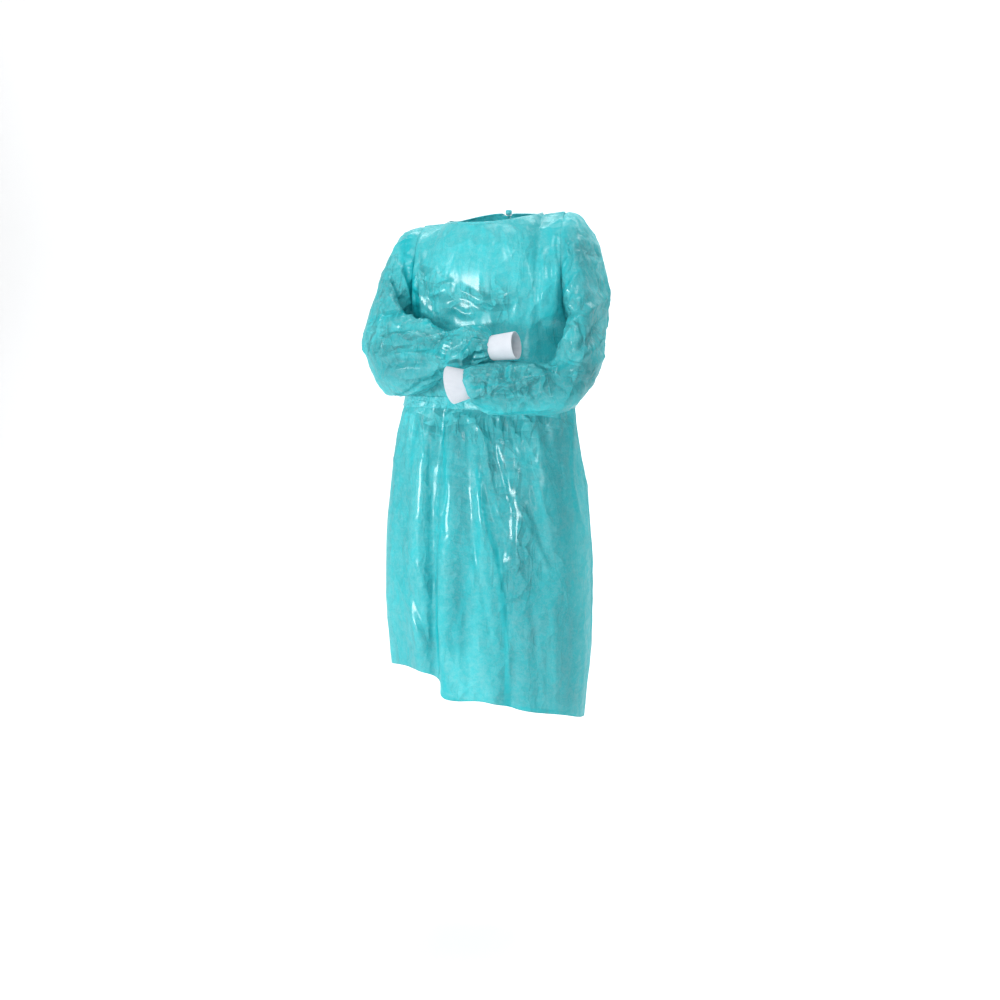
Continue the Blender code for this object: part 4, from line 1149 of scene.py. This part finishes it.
# %% Patches
Patch = namedtuple("Patch", "points width amount")
PATCHES = {}
PATCHES["layers", "front"] = (
    Patch([(412, 236), (413, 270), (416, 305), (420, 325)], 12, 1.0),
    Patch([(553, 222), (551, 260), (549, 315)], 10, 0.5),
    Patch([(390, 664), (436, 680), (444, 697), (505, 706), (583, 717)], 4, 0.8),
    Patch([(443, 424), (446, 500), (440, 560), (438, 640), (446, 692)], 9, 0.8),
    Patch([(478, 470), (484, 520), (497, 562), (506, 640), (507, 704)], 8, 0.9),
    Patch([(479, 520), (474, 563), (455, 636)], 9, 0.55),
    Patch([(411, 470), (414, 445), (420, 425)], 6, 0.6),
    Patch([(570, 430), (571, 480), (577, 520)], 6, 0.5),
)
PATCHES["layers", "sleeve_right"] = (
    Patch([(406, 240), (409, 270), (413, 305)], 15, 1.0),
    Patch([(372, 320), (401, 314), (422, 321), (449, 334)], 9, 0.75),
    Patch([(389, 355), (420, 352), (442, 354), (448, 366)], 6, 0.8),
    Patch([(440, 350), (455, 337), (470, 327), (488, 332)], 8, 0.8),
    Patch([(463, 364), (463, 352), (476, 337)], 4, 0.8),
)
PATCHES["layers", "sleeve_left"] = (
    Patch([(473, 387), (508, 385), (530, 379), (554, 371)], 5, 0.9),
    Patch([(552, 372), (575, 362), (594, 350), (604, 332), (608, 310)], 6, 0.8),
    Patch([(556, 312), (565, 290), (578, 272)], 5, 0.7),
    Patch([(558, 322), (582, 315), (606, 298)], 5, 0.6),
    Patch([(508, 362), (509, 373), (507, 384)], 4, 0.8),
    Patch([(478, 404), (510, 411), (560, 406)], 10, 0.5),
    Patch([(564, 232), (568, 250), (564, 270)], 8, 0.6),
)
# The tone patches are painted shade where the wearer's legs and arms show through the cloth.
PATCHES["tone_and_shade", "front"] = (
    Patch([(500, 450), (520, 560), (530, 690)], 90, 0.62),
    Patch([(556, 440), (562, 560), (568, 700)], 60, 0.62),
    Patch([(458, 440), (462, 540), (455, 640)], 34, 0.70),
    Patch([(450, 440), (440, 560), (425, 660)], 95, 0.34),
    Patch([(400, 450), (404, 560), (406, 660)], 70, 0.30),
)
PATCHES["tone_and_shade", "sleeve_left"] = (
    Patch([(482, 385), (530, 388), (590, 375)], 60, 0.60),
    Patch([(575, 250), (583, 285), (590, 350)], 60, 0.48),
)
PATCHES["tone_and_shade", "sleeve_right"] = (
    Patch([(380, 366), (420, 374)], 55, 0.60),
    Patch([(400, 340), (470, 348)], 34, 0.50),
    Patch([(384, 280), (398, 310)], 40, 0.42),
)
PATCHES["crumple", "front"] = (
    Patch([(428, 288), (455, 298), (490, 300)], 44, 2.4),
    Patch([(430, 420), (500, 430), (570, 425)], 50, 1.6),
    Patch([(500, 460), (516, 530), (512, 590)], 36, 1.6),
)
PATCHES["crumple", "sleeve_left"] = (
    Patch([(580, 345), (605, 300), (590, 250)], 60, 2.0),
    Patch([(480, 385), (590, 370)], 50, 2.0),
)
PATCHES["crumple", "sleeve_right"] = (
    Patch([(385, 260), (380, 340), (440, 345), (485, 340)], 60, 2.0),
)
PLAIN = {"tone_and_shade": 0.12, "layers": 0.0, "crumple": 0.6}
PATCH_STEPS = 60
FALL_POWER = {"tone_and_shade": 1.7, "layers": 4.0, "crumple": 2.0}


def paint(name, quality):
    """Writes one quality of a sheet as an attribute of its points."""
    points = read(sheets[name].data.vertices, "co")
    value = np.full(len(points), PLAIN[quality])
    for patch in PATCHES.get((quality, name), ()):
        line = on_cloth(casting[name], PHOTO, patch.points)
        if len(line):
            gap, _ = nearest(points, line[:: max(1, len(line) // PATCH_STEPS)])
            fall = np.exp(-((gap / (patch.width * MM)) ** FALL_POWER[quality]))
            value = np.maximum(value, patch.amount * fall)
    attribute = sheets[name].data.attributes.new(quality, "FLOAT", "POINT")
    attribute.data.foreach_set("value", value)


for name in CLOTH:
    for quality in PLAIN:
        paint(name, quality)

# %% [markdown]
# ## Thickness
#
# Each sheet gets a thin wall on its inner side, so that its edges and hem catch the light.

# %% Thin walls
SHEET_THICKNESS = 0.40 * MM

for name, sheet in sheets.items():
    covered(sheet.data, coated)
    wall = sheet.modifiers.new("thickness", "SOLIDIFY")
    wall.thickness = SHEET_THICKNESS
    wall.offset = -1.0
    wall.use_even_offset = False

# %% [markdown]
# ## The seams
#
# The armhole and side seams are welded: a narrow raised line of the same film that follows the
# edge where two sheets meet.

# %% Seam lines
SEAM_RADIUS = 0.75 * MM
SHORTEST_RUN = 6
SHORTEST_LOOP = 3
THINNED_RUN = 8


def edge_runs(sheet, wanted):
    """Runs of a sheet's rim whose points all pass a test, in order along the rim."""
    bm = opened(sheet.data)
    links = {}
    for edge in bm.edges:
        if edge.is_boundary:
            a, b = edge.verts
            if wanted(a.co) and wanted(b.co):
                links.setdefault(a.index, []).append(b.index)
                links.setdefault(b.index, []).append(a.index)
    places = {vert.index: vert.co.copy() for vert in bm.verts if vert.index in links}
    bm.free()
    runs = []
    free = set(links)
    while free:
        start = min(free, key=lambda index: (len(links[index]), index))
        run = [start]
        free.discard(start)
        while True:
            onward = [index for index in links[run[-1]] if index in free]
            if not onward:
                break
            run.append(onward[0])
            free.discard(onward[0])
        closed = len(run) > SHORTEST_LOOP and start in links[run[-1]]
        runs.append(([places[index] for index in run], closed))
    return [found for found in runs if len(found[0]) > SHORTEST_RUN]


def seam_line(name, runs):
    """A raised line along runs of points, as one mesh."""
    data = bpy.data.curves.new(name, "CURVE")
    data.dimensions = "3D"
    data.bevel_depth = SEAM_RADIUS
    data.bevel_resolution = 1
    data.use_fill_caps = True
    for run, closed in runs:
        kept = run[::2] if len(run) > THINNED_RUN else run
        spline = data.splines.new("POLY")
        spline.points.add(len(kept) - 1)
        for point, place in zip(spline.points, kept):
            point.co = (*place, 1)
        spline.use_cyclic_u = closed
    mesh = covered(baked(placed(name, data)), coated)
    mesh.name = name
    return placed(name, mesh)


def against(*names):
    """A test for lying against the rims of other sheets."""
    tree = tree_of(np.concatenate([rims[name] for name in names]))
    return lambda place: tree.find(place)[2] < SEAM_GAP


seam_pieces = {
    "armhole_seam_left": ("sleeve_left", ("front", "back_left")),
    "armhole_seam_right": ("sleeve_right", ("front", "back_right")),
    "side_seam_left": ("back_left", ("front",)),
    "side_seam_right": ("back_right", ("front",)),
}
lines = {}
for name, (piece, others) in seam_pieces.items():
    runs = edge_runs(sheets[piece], against(*others))
    lines[name] = seam_line(name, runs)
    print(name, [len(run) for run, _ in runs])

CUFF_SEAM_REACH = 0.07
for side in ("left", "right"):
    middle = cuff_axis("cuff_" + side)[0]
    runs = edge_runs(sheets["sleeve_" + side], lambda place: (place - middle).length < CUFF_SEAM_REACH)
    lines["cuff_seam_" + side] = seam_line("cuff_seam_" + side, runs)

# %% [markdown]
# ## The cuffs
#
# A cuff is a tube of rib knit, folded back on itself at its open end. The CAD cuff's outer side is
# a regular net of rings, so its points are read as rings, made finer, and given ribs.

# %% Cuff rings
CUFF_COLUMNS_PER_RIB = 5
CUFF_ROWS = 22
CUFF_WALL = 1.5 * MM
RIB_HEIGHT = 0.75 * MM
END_STEPS = 6
END_ROUNDNESS = 0.6


def rings_of(name):
    """A cuff's outer side as an array of rings, from its seam end to its open end."""
    bm = outer_side(name)
    first_edge = next(edge for edge in bm.edges if edge.is_boundary)
    loop = [first_edge.verts[0], first_edge.verts[1]]
    while True:
        onward = [
            edge.other_vert(loop[-1])
            for edge in loop[-1].link_edges
            if edge.is_boundary and edge.other_vert(loop[-1]) is not loop[-2]
        ]
        if onward[0] is loop[0]:
            break
        loop.append(onward[0])
    rings = [loop]
    seen = set(loop)
    while True:
        ring = []
        for vert in rings[-1]:
            onward = [edge.other_vert(vert) for edge in vert.link_edges if edge.other_vert(vert) not in seen]
            ring.extend(onward[:1])
        if len(ring) < len(loop):
            break
        seen.update(ring)
        rings.append(ring)
    table = np.array([[tuple(vert.co) for vert in ring] for ring in rings])
    bm.free()
    return table


def round_spline(ring, count):
    """A closed ring of points as more points on a smooth curve through them."""
    size = len(ring)
    found = []
    for step in range(count):
        place = step * size / count
        index = int(place)
        near = (ring[(index + shift) % size] for shift in (-1, 0, 1, 2))
        found.append(between(*near, place - index))
    return np.array(found)


def finer_rows(rings, count):
    """More rings between a few, evenly along the cuff."""
    place = np.linspace(0, len(rings) - 1, count)
    lower = np.minimum(place.astype(int), len(rings) - 2)
    t = (place - lower)[:, None, None]
    return rings[lower] * (1 - t) + rings[lower + 1] * t


def cuff(side):
    """A knitted cuff with ribs outside, a folded end and a plain inside."""
    name = "cuff_" + side
    rings = rings_of(name)
    sleeve_tree = tree_of(rims["sleeve_" + side])
    if sleeve_tree.find(Vector(rings[0][0]))[2] > sleeve_tree.find(Vector(rings[-1][0]))[2]:
        rings = rings[::-1]
    columns = CUFF_RIBS * CUFF_COLUMNS_PER_RIB
    rows = finer_rows(np.array([round_spline(ring, columns) for ring in rings]), CUFF_ROWS)
    middles = rows.mean(axis=1, keepdims=True)
    outward = rows - middles
    outward /= np.linalg.norm(outward, axis=2, keepdims=True)
    rib = 0.5 + 0.5 * np.cos(2 * math.pi * CUFF_RIBS * np.arange(columns) / columns)
    outside = rows + outward * (rib - 1)[None, :, None] * RIB_HEIGHT
    inside = rows - outward * CUFF_WALL
    end = rows[-1] - rows[-2]
    end /= np.linalg.norm(end, axis=1, keepdims=True)
    turn = []
    for step in range(1, END_STEPS):
        angle = math.pi * step / END_STEPS
        across = (1 - math.cos(angle)) / 2
        shift = end * math.sin(angle) * CUFF_WALL * END_ROUNDNESS
        turn.append(outside[-1] * (1 - across) + inside[-1] * across + shift)
    layers = np.concatenate((outside, turn, inside[::-1]))
    bm = bmesh.new()
    verts = [[bm.verts.new(place) for place in layer] for layer in layers]
    uv = bm.loops.layers.uv.new("cuff")
    for row, (lower, upper) in enumerate(zip(verts, verts[1:])):
        for column in range(columns):
            after = (column + 1) % columns
            face = bm.faces.new((lower[column], lower[after], upper[after], upper[column]))
            corners = ((column, row), (column + 1, row), (column + 1, row + 1), (column, row + 1))
            for loop, (u, v) in zip(face.loops, corners):
                loop[uv].uv = (u / columns, v / CUFF_ROWS)
    bmesh.ops.recalc_face_normals(bm, faces=bm.faces)
    mesh = closed_mesh(bm, name + "_knit")
    heights = np.tile(rib, len(layers))
    mesh.attributes.new("rib", "FLOAT", "POINT").data.foreach_set("value", heights)
    return placed(name + "_knit", covered(mesh, knit))


cuffs = {side: cuff(side) for side in ("left", "right")}

# %% [markdown]
# ## Binding, belt, ties and knots
#
# These are narrow folded strips whose CAD forms are right, so each is a copy with softened edges
# and a finer surface.

# %% Soft copies
STRIPS = (
    "neck_binding",
    "waist_belt",
    "waist_knot",
    "neck_knot",
    "neck_tie_left",
    "neck_tie_right",
    "waist_tie_left",
    "waist_tie_right",
)
EDGE_HOLD = 0.72


def soft_copy(name):
    """A node's form with rounded edges and a finer surface."""
    bm = merged(name)
    pair_triangles(bm)
    hold = bm.edges.layers.float.new("crease_edge")
    for edge in bm.edges:
        if len(edge.link_faces) == 2 and edge.calc_face_angle() > SHARP_EDGE:
            edge[hold] = EDGE_HOLD
    mesh = closed_mesh(bm, name + "_strip")
    piece = placed(name + "_strip", covered(mesh, strip_cloth))
    smooth = piece.modifiers.new("subdivide", "SUBSURF")
    smooth.levels = 2
    smooth.render_levels = 2
    return piece


strips = {name: soft_copy(name) for name in STRIPS}

# %% [markdown]
# ## Handing over
#
# Every piece rides on the one body, and stands for the node that it was made from. The seam lines
# stand for no node.

# %% Riding and replacing
for name, sheet in sheets.items():
    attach(sheet, "root")
    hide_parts(name)
for name, line in lines.items():
    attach(line, "root")
for side, piece in cuffs.items():
    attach(piece, "root")
    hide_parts("cuff_" + side)
for name, piece in strips.items():
    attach(piece, "root")
    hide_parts(name)

# %% [markdown]
# ## Sheets
#
# A cut can hold the size of a piece of cloth: what shows of it, laid flat, and all round on a
# sleeve. Its columns are piece, width, length, area, held, rests_on and with_pieces. A width is at
# the widest place, and an area leaves out what is cut away at the neck, the armholes and along the
# sloping sides. A cuff is knitted twice as long as it shows and folded double. The binding is sewn
# on the front, and the knots and the narrow neck ties on the pieces that they belong to.

# %% Sheets
Cut = namedtuple("Cut", "piece width length area held rests_on with_pieces", defaults=((),))
